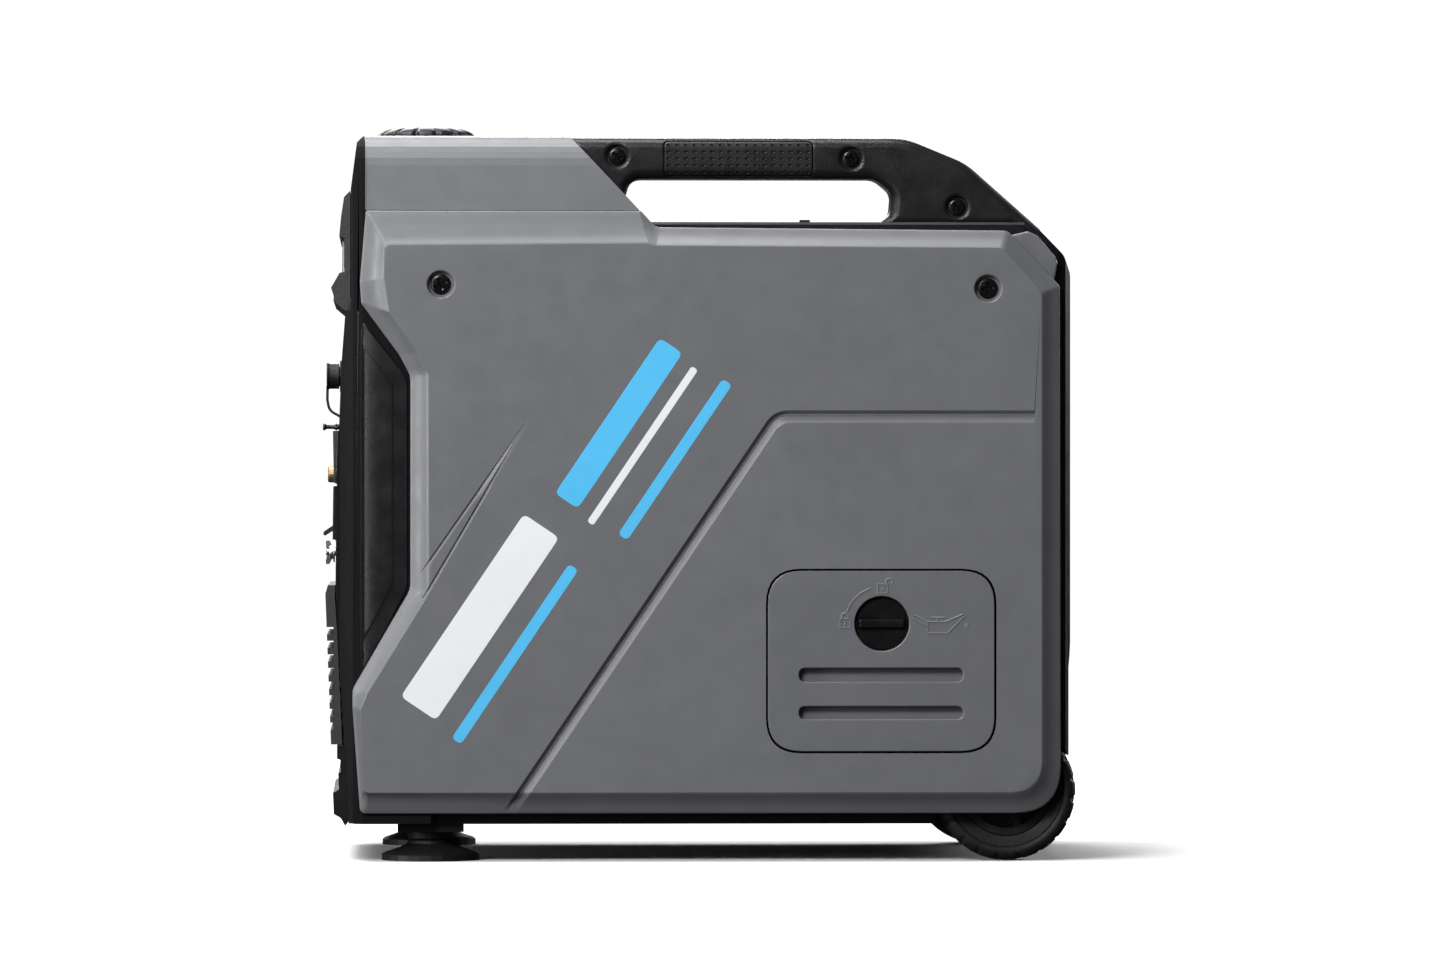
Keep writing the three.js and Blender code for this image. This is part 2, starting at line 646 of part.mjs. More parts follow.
// Face of the front shell between z 399.6 and 221.6, where the outlets sit.
function faceX(z) {
  const upper = THREE.MathUtils.mapLinear(z, 399.6, 289.6, -286.7, -290.9);
  const lower = THREE.MathUtils.mapLinear(z, 289.6, 221.6, -290.9, -291.6);
  return z > 289.6 ? upper : lower;
}

// Socket body behind a flange that lies on the sloping face.
function outlet({ y, z0, z1, half }, inset, depth) {
  const plate = [
    [faceX(z0) - 0.3, z0], [faceX(z1) - 0.3, z1], [faceX(z1) - 1.3, z1], [faceX(z0) - 1.3, z0],
  ];
  const flange = prismY(plate, y - half, y + half);
  const edge = inset + GAP;
  const front = faceX(z1) - 0.9;
  const [y0, y1] = [y - half + edge + 4, y + half - edge - 4];
  const body = block(front, front + depth, y0, y1, z0 + edge, z1 - edge);
  return flange.add(body);
}

// Upright contact slots through the outlet, each step away from its middle.
function contactSlots({ y, z0, z1 }, steps) {
  const middle = (z0 + z1) / 2;
  return steps.map((step) => (
    block(-300, -278, y + step - 1, y + step + 1, middle - 5, middle + 5)
  ));
}

function upperOutlet() {
  return cut(outlet(UPPER, 8, 24), ...contactSlots(UPPER, [-7, 7]));
}

function lowerOutlet() {
  return cut(outlet(LOWER, 8, 24), ...contactSlots(LOWER, [-17, -7, 7, 17]));
}

function outletCover({ y, z0, z1, half }, thickTop, thickBottom) {
  const back = 1.7;
  const profile = [
    [faceX(z0) - back, z0 + 0.6], [faceX(z1) - back, z1], [faceX(z1) - back - thickTop, z1 - 0.4],
    [faceX(z0) - back - thickBottom, z0 + 0.6],
  ];
  return prismY(profile, y - half + 1, y + half - 1);
}

function lowerOutletCover() {
  const { y, z0 } = LOWER;
  const tab = [
    [-293.4, z0 + 12.6], [-293.4, z0 + 8], [-300.4, z0 + 3.6], [-302, z0 + 4.6], [-301.6, z0 + 7],
  ];
  return outletCover(LOWER, 1.6, 1.4).add(prismY(tab, y - 7, y + 7));
}

function gasInlet() {
  const profile = [
    [0, -299.6], [6, -299.6], [7, -298.6], [7, -291.4], [5.6, -291.4], [5.6, -276], [0, -276],
  ];
  const bore = turnedX(rod(3.2, -301, -284), GAS.y, GAS.z, 14);
  return turnedX(profile, GAS.y, GAS.z, 20).subtract(bore);
}

function groundTerminal() {
  const profile = [
    [0, -299], [3, -299], [3, -298.2], [6.6, -298.2], [6.6, -294.4], [8.4, -294.4],
    [8.4, -292.2], [3, -292.2], [3, -276], [0, -276],
  ];
  return turnedX(profile, GROUND.y, GROUND.z, 12);
}

function intakeGrille() {
  const profile = [
    [-286.4, GRILLE.z0], [-290.4, 180.8], [-292.4, 212], [-292.2, GRILLE.z1],
    [-298, GRILLE.z1], [-300, 214], [-295.4, GRILLE.z0],
  ];
  let grille = prismY(profile, -GRILLE.half, GRILLE.half);
  for (let row = 0; row < GRILLE.slots; row += 1) {
    const z = GRILLE.first + row * GRILLE.pitch;
    grille = grille.subtract(block(-310, -280, -GRILLE.half + 8, -6, z, z + GRILLE.high));
    grille = grille.subtract(block(-310, -280, 6, GRILLE.half - 8, z, z + GRILLE.high));
    const lip = z + GRILLE.high;
    grille = grille.subtract(block(-310, -293.4, -GRILLE.half - 1, GRILLE.half + 1, z, lip));
  }
  return grille;
}

function lowerSkirt() {
  const profile = [
    [-284.8, 92], [-281.4, 30.4], [-284, 27.4], [-287, 33], [-288.6, 34.4], [-293.2, 37],
    [-293.8, 54], [-288.8, 57], [-289.6, 69.6], [-287.4, 71], [-287.8, 80.4], [-290.4, 81.6],
    [-290.4, 92],
  ];
  return prismY(profile, -172, 172);
}

// ---------------------------------------------------------------- the inside

function engineBlock() {
  const crankcase = prismX(roundedBox(-85, 80, 66, 206, 14, 3), 42, 190);
  const base = block(52, 182, -100, 96, 38.6, 72);
  const filler = turnedY(rod(15, -110, -80), FILLER.x, FILLER.z, 20);
  return cut(
    unite(crankcase, base, filler),
    turnedX(rod(12.6, 30, 60), CRANK.y, CRANK.z, 20),
    turnedY(rod(11, -120, -90), FILLER.x, FILLER.z, 16),
  );
}

function cylinderHead() {
  let head = turnedZ(rod(36, 206.4, 300), CYLINDER_X, 0, 14);
  for (let fin = 0; fin < 5; fin += 1) {
    const z = 216 + fin * 15;
    head = head.add(block(70, 166, -48, 48, z, z + 3));
  }
  head = head.add(block(72, 164, -46, 46, 288, 318));
  head = head.add(prismY(roundedBox(78, 158, 310, 340, 8, 2), -38, 38));
  return head.subtract(turnedY(rod(6, -70, -36), CYLINDER_X, 303, 12));
}

function sparkPlug() {
  const profile = [
    [0, -76], [8, -76], [8, -60], [9, -58], [9, -47], [5, -47], [5, -37], [0, -37],
  ];
  return turnedY(profile, CYLINDER_X, 303, 12);
}

function oilFillerCap() {
  const { x, z } = FILLER;
  const cap = turnedY([[0, -122], [15, -122], [17, -119], [17, -110.6], [0, -110.6]], x, z, 20);
  const stem = turnedY(rod(10, -111, -94), x, z, 14);
  return unite(cap, stem, block(x - 2.5, x + 2.5, -130, -120, z - 13, z + 13));
}

// Flywheel with fan blades on the crankshaft.
function rotorFan() {
  let rotor = turnedX(rod(12, -92, 58), CRANK.y, CRANK.z, 20);
  rotor = rotor.add(turnedX(rod(44, -70, -33), CRANK.y, CRANK.z, 20));
  rotor = rotor.add(turnedX(rod(80, -76, -71), CRANK.y, CRANK.z, 24));
  for (let blade = 0; blade < 8; blade += 1) {
    const vane = block(-96, -75, -2, 2, 46, 79);
    rotor = rotor.add(vane.rotate([blade * 45, 0, 0]).translate([0, CRANK.y, CRANK.z]));
  }
  return rotor;
}

function stator() {
  const ring = turnedX(tube(46, 70, -66, -30), CRANK.y, CRANK.z, 20);
  const plate = turnedX(tube(20, 70, -30.5, -24), CRANK.y, CRANK.z, 20);
  const legs = block(-30, 41.6, -8, 8, 84, 96);
  return unite(ring, plate, legs, block(-30, 41.6, -8, 8, 188, 200));
}

function blowerHousing() {
  return turnedX(tube(84, 87, -104, -22), CRANK.y, CRANK.z, 32);
}

function carburettor() {
  const throat = turnedX(rod(15, 22, 69.4), 0, 262, 18);
  const bowl = turnedZ(rod(19, 226, 262), 46, 0, 18);
  return unite(throat, bowl).subtract(turnedX(rod(11, 20, 60), 0, 262, 16));
}

function airFilterBox() {
  const box = prismY(roundedBox(-92, 21, 236, 330, 10, 3), -70, 70);
  return box.subtract(turnedX(rod(11, 0, 30), 0, 262, 16));
}

function muffler() {
  const body = prismY(roundedBox(212, 284, 168, 300, 24, 4), -96, 96);
  const inlet = turnedX(rod(13, 168, 220), 0, 272, 14);
  const tail = turnedX(rod(15, 280, 300.6), TAILPIPE.y, TAILPIPE.z, 20);
  const bore = turnedX(rod(12.4, 276, 310), TAILPIPE.y, TAILPIPE.z, 18);
  return unite(body, inlet, tail).subtract(bore);
}

function inverterModule() {
  let body = block(-262, -200, -120, 120, 262, 388);
  for (let fin = 0; fin < 9; fin += 1) {
    const y = -116 + fin * 27;
    body = body.add(block(-201, -184, y, y + 5, 262, 388));
  }
  return body;
}

function battery() {
  return prismZ(roundedBox(-262, -196, 70, 160, 4, 1), 38.6, 128)
    .add(block(-256, -244, 82, 94, 127, 136))
    .add(block(-256, -244, 136, 148, 127, 136));
}

// ------------------------------------------------------------------ assembly

const machine = new THREE.Group();
machine.name = "portable_generator";

const [front, rear] = SCREWS;
const [forward, middle, aft] = HANDLE_SCREWS;

machine.add(
  part("base_tray", baseTray(), BLACK),
  part("front_shell", frontShell(), BLACK),
  part("rear_shell", rearShell(), BLACK),
  part("rear_cover", rearCover(), BLACK),
  part("deck_cover", deckCover(), BLACK),
  part("top_cover", topCover(), GREY),
  part("right_side_panel", rightPanel(), GREY),
  part("left_side_panel", mirrored(panelDish()), GREY),
  part("right_front_screw", panelScrew(...front), DARK_STEEL),
  part("right_rear_screw", panelScrew(...rear), DARK_STEEL),
  part("left_front_screw", mirrored(panelScrew(...front)), DARK_STEEL),
  part("left_rear_screw", mirrored(panelScrew(...rear)), DARK_STEEL),
  part("oil_door", oilDoor(), GREY),
  part("oil_door_knob", oilDoorKnob(), BLACK),
  part("right_handle_half", handleHalf(), BLACK),
  part("left_handle_half", mirrored(handleHalf()), BLACK),
  part("right_grip_pad", gripPad(), RUBBER),
  part("left_grip_pad", mirrored(gripPad()), RUBBER),
  part("front_handle_bolt", handleBolt(...forward), DARK_STEEL),
  part("middle_handle_bolt", handleBolt(...middle), DARK_STEEL),
  part("rear_handle_bolt", handleBolt(...aft), DARK_STEEL),
  part("fuel_cap", fuelCap(), BLACK),
  part("fuel_cap_plug", fuelCapPlug(), BLACK),
  part("fuel_tank", fuelTank(), BLACK),
  part("right_wheel_rim", wheelRim(), BLACK),
  part("left_wheel_rim", mirrored(wheelRim()), BLACK),
  part("right_tyre", tyre(), RUBBER),
  part("left_tyre", mirrored(tyre()), RUBBER),
  part("axle", axle(), STEEL),
  part("right_foot", foot(), RUBBER),
  part("left_foot", mirrored(foot()), RUBBER),
  part("control_panel", controlPanel(), TRIM),
  part("display_lens", displayLens(), LENS),
  part("start_button", startButton(), RED),
  part("eco_switch", ecoSwitch(), BLACK),
  part("dc_socket", dcSocket(), BLACK),
  part("dc_socket_cap", dcSocketCap(), RUBBER),
  part("pull_knob", pullKnob(), BLACK),
  part("upper_outlet", upperOutlet(), BLACK),
  part("upper_outlet_cover", outletCover(UPPER, 3.6, 1.2), TRIM),
  part("lower_outlet", lowerOutlet(), BLACK),
  part("lower_outlet_cover", lowerOutletCover(), RUBBER),
  part("gas_inlet", gasInlet(), BRASS),
  part("ground_terminal", groundTerminal(), STEEL),
  part("intake_grille", intakeGrille(), TRIM),
  part("lower_skirt", lowerSkirt(), BLACK),
  part("engine_block", engineBlock(), ALUMINIUM),
  part("cylinder_head", cylinderHead(), IRON),
  part("spark_plug", sparkPlug(), RUBBER),
  part("oil_filler_cap", oilFillerCap(), BLACK),
  part("rotor_fan", rotorFan(), ALUMINIUM),
  part("stator", stator(), IRON),
  part("blower_housing", blowerHousing(), BLACK),
  part("carburettor", carburettor(), ALUMINIUM),
  part("air_filter_box", airFilterBox(), BLACK),
  part("muffler", muffler(), STEEL),
  part("inverter_module", inverterModule(), ALUMINIUM),
  part("battery", battery(), BLACK),
);

export default machine;
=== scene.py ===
"""Portable inverter generator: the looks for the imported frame.

Lengths are in millimetres until a mesh is made. The front faces -X and the right-hand side -Y.
"""

import json
import math

import bmesh
import bpy
import numpy as np
from mathutils import Matrix, Vector
from mathutils.geometry import delaunay_2d_cdt

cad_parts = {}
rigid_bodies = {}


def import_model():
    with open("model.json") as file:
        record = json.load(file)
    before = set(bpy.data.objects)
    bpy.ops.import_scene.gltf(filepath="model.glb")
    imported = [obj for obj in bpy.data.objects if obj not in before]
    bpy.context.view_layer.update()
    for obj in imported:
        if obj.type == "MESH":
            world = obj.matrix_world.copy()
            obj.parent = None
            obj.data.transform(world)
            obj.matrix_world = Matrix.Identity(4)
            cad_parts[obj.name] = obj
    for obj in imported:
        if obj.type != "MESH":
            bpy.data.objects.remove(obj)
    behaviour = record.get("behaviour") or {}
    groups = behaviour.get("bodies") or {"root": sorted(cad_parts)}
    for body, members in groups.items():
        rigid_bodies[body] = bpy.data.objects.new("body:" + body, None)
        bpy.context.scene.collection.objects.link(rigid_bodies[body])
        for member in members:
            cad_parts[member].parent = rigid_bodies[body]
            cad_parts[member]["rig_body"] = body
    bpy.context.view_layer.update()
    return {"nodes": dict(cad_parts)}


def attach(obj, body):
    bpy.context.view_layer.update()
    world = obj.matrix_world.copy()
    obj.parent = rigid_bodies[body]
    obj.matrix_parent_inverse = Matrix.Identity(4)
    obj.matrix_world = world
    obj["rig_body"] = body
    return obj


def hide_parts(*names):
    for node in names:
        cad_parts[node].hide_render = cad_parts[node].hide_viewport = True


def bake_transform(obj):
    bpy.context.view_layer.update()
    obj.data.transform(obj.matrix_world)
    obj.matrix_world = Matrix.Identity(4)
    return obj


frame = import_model()
NODES = frame["nodes"]
MM = 0.001

# ------------------------------------------------------------ driving sizes

FACE_Y = 219.9
EDGE_Y = 208.6
RIM_Y = 199.4
PANEL_WALL = 2.6

PANEL_OUTLINE = [
    (-267.2, 521.2, 2), (-272, 464, 2), (-270.9, 446.8, 5), (-240.8, 406, 5), (-231.7, 389, 18),
    (-231.7, 218, 20), (-278, 138, 12), (-278, 124, 8), (-271.8, 38.4, 6), (289.8, 38.4, 37),
    (289.1, 461.2, 6), (247.2, 505.6, 8), (-35, 508, 10), (-47, 521.2, 3),
]
PANEL_FACE = [
    (-252, 492.8, 3), (-252, 467, 2), (-248, 440, 5), (-225.6, 408, 5), (-216.8, 391, 12),
    (-216.8, 214, 12), (-266, 134.4, 10), (-271.2, 121.6, 8), (-268.8, 56, 4), (273.6, 56, 25),
    (273.6, 455.2, 5), (242.4, 491.2, 6), (-35, 492.6, 4), (-41.6, 494.4, 3),
]
PANEL_FACET = [
    (247.7, 501.5, 1), (255, 494.6, 1), (284.4, 463.4, 1), (287.6, 479.8, 3), (285.6, 485, 3),
    (271.4, 501.8, 4), (263.7, 505.2, 3),
]
BEVEL_STEPS = [0.0, 0.02, 0.06, 0.2, 0.35, 0.5, 0.65, 0.8, 0.9, 0.96, 1.0]
BEVEL_DEPTHS = [0.0, 0.06, 0.11, 0.20, 0.31, 0.44, 0.60, 0.79, 0.92, 0.975, 1.0]

GROOVE_PATH = [(268, 356.4, 0), (62, 356.4, 16), (-158, 31, 0)]
GROOVE_SIDES = [-5.0, -4.5, -2.2, -1.5, -0.9, -0.3, 0.6, 4.4, 5.3]
GROOVE_DEEP = [0.0, 0.35, 3.2, 3.3, 2.7, 3.0, 2.9, 0.4, 0.0]
CREASE_TIP = (-138.4, 353.6)
CREASE_FEET = [(-231.0, 221.0), (-221.5, 212.0)]
CREASE_SIDES = [-2.6, -0.2, 0.0, 0.2]
CREASE_DEEP = [0.0, 1.5, 1.5, 0.0]

SCREWS = [(-207.2, 462), (230.9, 459)]
WELL_R = 10.7
DOOR = (54.4, 236, 88.4, 233)
DOOR_R = 27
DOOR_GAP = 1.6
DOOR_SLOTS = [(79.2, 210.9, 144, 155.2), (79.2, 210.9, 114, 124.5)]
KNOB = (145.8, 190.6)
KNOB_R = 21.2

# ---------------------------------------------------------------- materials


def material(name, colour, roughness, metallic=0.0, grain=900, bump=0.05, mottle=0.04,
             spread=0.07, edge_wear_and_highlight=0.0, coat=0.0, specular=0.5):
    """Surface with fine grain, uneven roughness, faint mottling and lighter edges, which are part wear
    and part painted highlight.
    """
    mat = bpy.data.materials.new(name)
    mat.use_nodes = True
    tree = mat.node_tree
    shader = tree.nodes["Principled BSDF"]
    shader.inputs["Metallic"].default_value = metallic
    shader.inputs["Coat Weight"].default_value = coat
    shader.inputs["Specular IOR Level"].default_value = specular
    place = tree.nodes.new("ShaderNodeTexCoord").outputs["Object"]

    def noise(scale, detail):
        node = tree.nodes.new("ShaderNodeTexNoise")
        node.inputs["Scale"].default_value = scale
        node.inputs["Detail"].default_value = detail
        tree.links.new(place, node.inputs["Vector"])
        return node.outputs["Fac"]

    def spread_over(value, low, high):
        node = tree.nodes.new("ShaderNodeMapRange")
        node.inputs["From Min"].default_value = 0.3
        node.inputs["From Max"].default_value = 0.7
        node.inputs["To Min"].default_value = low
        node.inputs["To Max"].default_value = high
        tree.links.new(value, node.inputs["Value"])
        return node.outputs["Result"]

    def mix(factor, first, second):
        node = tree.nodes.new("ShaderNodeMix")
        node.data_type = "RGBA"
        tree.links.new(factor, node.inputs["Factor"])
        for socket, value in (("A", first), ("B", second)):
            target = [s for s in node.inputs if s.name == socket and s.type == "RGBA"][0]
            if isinstance(value, tuple):
                target.default_value = (*value, 1)
            else:
                tree.links.new(value, target)
        return [s for s in node.outputs if s.type == "RGBA"][0]

    dark = tuple(c * (1 - mottle) for c in colour)
    light = tuple(min(1.0, c * (1 + mottle)) for c in colour)
    tint = mix(spread_over(noise(26, 5), 0, 1), dark, light)
    speck = spread_over(noise(grain * 0.8, 3), 0, 1)
    tint = mix(speck, tint, mix(speck, light, tint))
    # Lighter colour where the mesh is pointy: part edge wear, part painted highlight on the rounded
    # edges.
    if edge_wear_and_highlight:
        edge = tree.nodes.new("ShaderNodeNewGeometry").outputs["Pointiness"]
        ramp = tree.nodes.new("ShaderNodeMapRange")
        ramp.inputs["From Min"].default_value = 0.53
        ramp.inputs["From Max"].default_value = 0.62
        ramp.inputs["To Max"].default_value = edge_wear_and_highlight
        tree.links.new(edge, ramp.inputs["Value"])
        tint = mix(ramp.outputs["Result"], tint, tuple(min(1.0, c * 1.8 + 0.02) for c in colour))
    tree.links.new(tint, shader.inputs["Base Color"])
    tree.links.new(
        spread_over(noise(60, 6), roughness - spread, roughness + spread),
        shader.inputs["Roughness"],
    )
    relief = tree.nodes.new("ShaderNodeBump")
    relief.inputs["Strength"].default_value = bump
    relief.inputs["Distance"].default_value = 0.0006
    tree.links.new(noise(grain, 2), relief.inputs["Height"])
    tree.links.new(relief.outputs["Normal"], shader.inputs["Normal"])
    return mat


# The grey panel's edges get painted highlight along with their wear.
GREY = material("grey_panel", (0.132, 0.135, 0.145), 0.40, grain=1500, bump=0.16, edge_wear_and_highlight=0.25)
BLACK = material("black_shell", (0.006, 0.006, 0.007), 0.42, grain=1300, bump=0.22, mottle=0.1,
                 specular=0.22)
CHEEK_BLACK = material("cheek_plastic", (0.009, 0.009, 0.010), 0.3, grain=1300, bump=0.12,
                       mottle=0.05, specular=0.5)
# Darker, duller copy of the black plastic for the front shell: painted shade, so its edge reads as in
# shadow.
BEZEL_SHADE_BLACK = material("bezel_plastic_painted_shade", (0.004, 0.004, 0.0045), 0.5, grain=1300, bump=0.2,
                       mottle=0.1, specular=0.1)
DARK = material("dark_trim", (0.022, 0.022, 0.024), 0.5, grain=800, bump=0.4, mottle=0.12)
SOFT = material("handle_plastic", (0.009, 0.009, 0.010), 0.34, grain=1100, bump=0.3, mottle=0.12,
                specular=0.4)
# The knob's own black plastic, made darker still than the other blacks as painted shade of its well.
KNOB_SHADE_BLACK = material("knob_plastic_painted_shade", (0.003, 0.003, 0.003), 0.36, grain=900, bump=0.3,
                      mottle=0.15, specular=0.25)
RUBBER = material("rubber", (0.006, 0.006, 0.006), 0.55, grain=500, bump=0.35, mottle=0.25,
                  specular=0.35)
TYRE = material("tyre", (0.007, 0.007, 0.007), 0.6, grain=420, bump=0.5, mottle=0.3, specular=0.35)
GRIP = material("grip_rubber", (0.007, 0.007, 0.007), 0.42, grain=700, bump=0.3, mottle=0.2,
                specular=0.4)
SCREW = material("black_screw", (0.006, 0.006, 0.006), 0.22, 0.3, grain=300, bump=0.15, mottle=0.2)
STEEL = material("steel", (0.52, 0.53, 0.55), 0.3, 1.0, grain=240, bump=0.12, mottle=0.12)
BRASS = material("brass", (0.42, 0.30, 0.17), 0.45, 1.0, grain=300, bump=0.1, mottle=0.12)
ALLOY = material("cast_alloy", (0.48, 0.49, 0.51), 0.5, 1.0, grain=260, bump=0.5, mottle=0.12)
IRON = material("cast_iron", (0.11, 0.11, 0.115), 0.62, 0.6, grain=260, bump=0.6, mottle=0.2)
LENS = material("display_lens", (0.32, 0.36, 0.38), 0.12, coat=0.6, grain=60, bump=0.01)
RED = material("red_button", (0.45, 0.02, 0.015), 0.3, coat=0.3, grain=500, bump=0.05)
BLUE = material("blue_decal", (0.085, 0.50, 0.86), 0.38, grain=900, bump=0.04, mottle=0.03)
WHITE = material("white_decal", (0.80, 0.81, 0.82), 0.4, grain=900, bump=0.04, mottle=0.02)
FLOOR = material("studio_floor", (0.93, 0.93, 0.93), 0.8, grain=30, bump=0.01, mottle=0.004)

# ------------------------------------------------------------ mesh helpers


def rounded(corners, steps=8):
    """Closed outline with each (a, b, radius) corner turned by an arc."""
    outline = []
    for i, (a, b, radius) in enumerate(corners):
        corner = Vector((a, b))
        back = Vector(corners[i - 1][:2]) - corner
        ahead = Vector(corners[(i + 1) % len(corners)][:2]) - corner
        half = back.angle(ahead) / 2
        reach = min(radius / math.tan(half), 0.49 * back.length, 0.49 * ahead.length)
        start, end = corner + back.normalized() * reach, corner + ahead.normalized() * reach
        for k in range(steps + 1):
            t = k / steps
            outline.append(start.lerp(corner, t).lerp(corner.lerp(end, t), t))
    return outline


def bent(path, steps=10):
    """Open path with its middle corners rounded."""
    points = [Vector(path[0][:2])]
    for i in range(1, len(path) - 1):
        triple = [path[i - 1], path[i], path[i + 1]]
        points += rounded(triple, steps)[steps + 1:2 * (steps + 1)]
    return points + [Vector(path[-1][:2])]


def box_outline(x0, x1, z0, z1, radius, steps=8):
    """Counter-clockwise rectangle with rounded corners."""
    return rounded([(x0, z0, radius), (x1, z0, radius), (x1, z1, radius), (x0, z1, radius)], steps)


def ring_outline(x, z, radius, count=40):
    """Counter-clockwise circle."""
    angles = [2 * math.pi * k / count for k in range(count)]
    return [Vector((x + radius * math.cos(a), z + radius * math.sin(a))) for a in angles]


def piece(name, verts, faces, mat, body, replaces=(), slot=None, smooth=35, bevel=0.0):
    """Mesh object from points in millimetres, in the row frame, riding on a body."""
    mesh = bpy.data.meshes.new(name)
    mesh.from_pydata([Vector(v) * MM for v in verts], [], faces)
    mesh.validate()
    work = bmesh.new()
    work.from_mesh(mesh)
    bmesh.ops.recalc_face_normals(work, faces=work.faces)
    work.to_mesh(mesh)
    work.free()
    obj = bpy.data.objects.new(name, mesh)
    bpy.context.scene.collection.objects.link(obj)
    mesh.materials.append(mat)
    for polygon in mesh.polygons:
        polygon.use_smooth = True
    mesh.set_sharp_from_angle(angle=math.radians(smooth))
    if bevel:
        soften(obj, bevel)
    else:
        even(obj)
    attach(obj, body)
    if replaces:
        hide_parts(*replaces)
    return obj


def even(obj):
    """Shading led by the large faces, so flats stay flat beside their rounded edges."""
    normals = obj.modifiers.new("even", "WEIGHTED_NORMAL")
    normals.weight = 80
    normals.keep_sharp = True


def soften(obj, width, segments=2):
    """Small rounding on every hard edge, as a moulding or casting has."""
    flat = obj.modifiers.new("flat", "DECIMATE")
    flat.decimate_type = "DISSOLVE"
    flat.angle_limit = math.radians(1)
    edge = obj.modifiers.new("edge", "BEVEL")
    edge.width = width * MM
    edge.segments = segments
    edge.limit_method = "ANGLE"
    edge.angle_limit = math.radians(32)
    edge.harden_normals = True
    edge.miter_outer = "MITER_ARC"


def refine(node, mat, bevel=0.6, segments=2):
    """A CAD node whose shape is right: new finish and rounded edges."""
    obj = NODES[node]
    obj.data.materials.clear()
    obj.data.materials.append(mat)
    for polygon in obj.data.polygons:
        polygon.use_smooth = True
        polygon.material_index = 0
    obj.data.set_sharp_from_angle(angle=math.radians(32))
    if bevel:
        soften(obj, bevel, segments)
    return obj


def turned(name, profile, axis, place, mat, body, count=64, closed=False, wave=None, **more):
    """Turned shape: profile is (radius, distance along the axis)."""
    verts = []
    for k in range(count):
        angle = 2 * math.pi * k / count
        for radius, along in profile:
            r = wave(radius, along, angle) if wave else radius
            verts.append(on_axis(axis, place, r * math.cos(angle), r * math.sin(angle), along))
    rows = len(profile)
    faces = []
    for k in range(count):
        m = (k + 1) % count
        for j in range(rows if closed else rows - 1):
            n = (j + 1) % rows
            faces.append((k * rows + j, m * rows + j, m * rows + n, k * rows + n))
    if not closed:
        faces.append([k * rows for k in range(count)])
        faces.append([k * rows + rows - 1 for k in reversed(range(count))])
    return piece(name, verts, faces, mat, body, **more)


def on_axis(axis, place, u, v, along):
    """Point at u, v across and along an axis line that passes through place."""
    first, second = place
    if axis == "x":
        return (along, first + u, second + v)
    if axis == "y":
        return (first + u, along, second + v)
    return (first + u, second + v, along)


def prism(name, outline, y0, y1, mat, body, **more):
    """Outline in x and z swept along y."""
    count = len(outline)
    verts = [(p[0], y, p[1]) for y in (y0, y1) for p in outline]
    faces = [[*range(count)], [*range(2 * count - 1, count - 1, -1)]]
    for i in range(count):
        j = (i + 1) % count
        faces.append((i, j, j + count, i + count))
    return piece(name, verts, faces, mat, body, **more)


# --------------------------------------------------------------- side panels


def distances(points, loop):
    """Distance from each point to a closed outline."""
    a = np.array([tuple(p) for p in loop])
    b = np.roll(a, -1, axis=0)
    d = b - a
    size = np.maximum((d ** 2).sum(1), 1e-12)
    best = np.full(len(points), 1e9)
    for start, run, length in zip(a, d, size):
        t = np.clip(((points - start) @ run) / length, 0, 1)
        best = np.minimum(best, np.linalg.norm(points - start - t[:, None] * run, axis=1))
    return best


def inside(points, loop):
    """True for each point within a closed outline."""
    x, z = points[:, 0], points[:, 1]
    odd = np.zeros(len(points), bool)
    for i in range(len(loop)):
        (ax, az), (bx, bz) = loop[i - 1], loop[i]
        if az == bz:
            continue
        crosses = (az > z) != (bz > z)
        odd ^= crosses & (x < (bx - ax) * (z - az) / (bz - az) + ax)
    return odd


def line_offset(points, line):
    """Signed distance from an open line, positive on its left."""
    line = [np.array(tuple(p)) for p in line]
    best = np.full(len(points), 1e9)
    signed = np.zeros(len(points))
    for a, b in zip(line[:-1], line[1:]):
        run = b - a
        t = np.clip(((points - a) @ run) / (run @ run), 0, 1)
        gap = points - a - t[:, None] * run
        size = np.linalg.norm(gap, axis=1)
        side = np.sign(run[0] * gap[:, 1] - run[1] * gap[:, 0])
        nearer = size < best
        best = np.where(nearer, size, best)
        signed = np.where(nearer, side * size, signed)
    return signed


def crease_depth(points):
    """Two fine furrows that run together to a point and fade there."""
    tip = np.array(CREASE_TIP)
    depth = np.zeros(len(points))
    for foot in CREASE_FEET:
        reach = np.linalg.norm(points - tip, axis=1) / np.linalg.norm(np.array(foot) - tip)
        furrow = np.interp(line_offset(points, [foot, CREASE_TIP]), CREASE_SIDES, CREASE_DEEP)
        depth = np.maximum(depth, furrow * np.clip(reach * 2.5, 0, 1))
    return depth


def panel_depth(points, outer, face):
    """How far from the middle plane the panel's skin lies at each point."""
    to_outer, to_face = distances(points, outer), distances(points, face)
    share = np.where(inside(points, face), 1.0, to_outer / np.maximum(to_outer + to_face, 1e-9))
    base = EDGE_Y + (FACE_Y - EDGE_Y) * np.interp(share, BEVEL_STEPS, BEVEL_DEPTHS)
    low = points[:, 1] < 70
    fade = np.where(low, np.clip((share - 0.15) / 0.6, 0, 1), np.clip((share - 0.85) / 0.15, 0, 1))
    runout = np.clip((271.5 - points[:, 0]) / 5, 0, 1)
    groove = np.interp(line_offset(points, bent(GROOVE_PATH)), GROOVE_SIDES, GROOVE_DEEP)
    return base - groove * fade * runout - crease_depth(points) * np.clip((share - 0.5) * 2, 0, 1)


def offset_line(line, distance):
    """Open line moved sideways, to its left when distance is positive."""
    moved = []
    for i, point in enumerate(line):
        before = (line[i] - line[i - 1]).normalized() if i else None
        after = (line[i + 1] - line[i]).normalized() if i + 1 < len(line) else None
        run = ((before or after) + (after or before)).normalized()
        moved.append(point + Vector((-run.y, run.x)) * distance)
    return moved


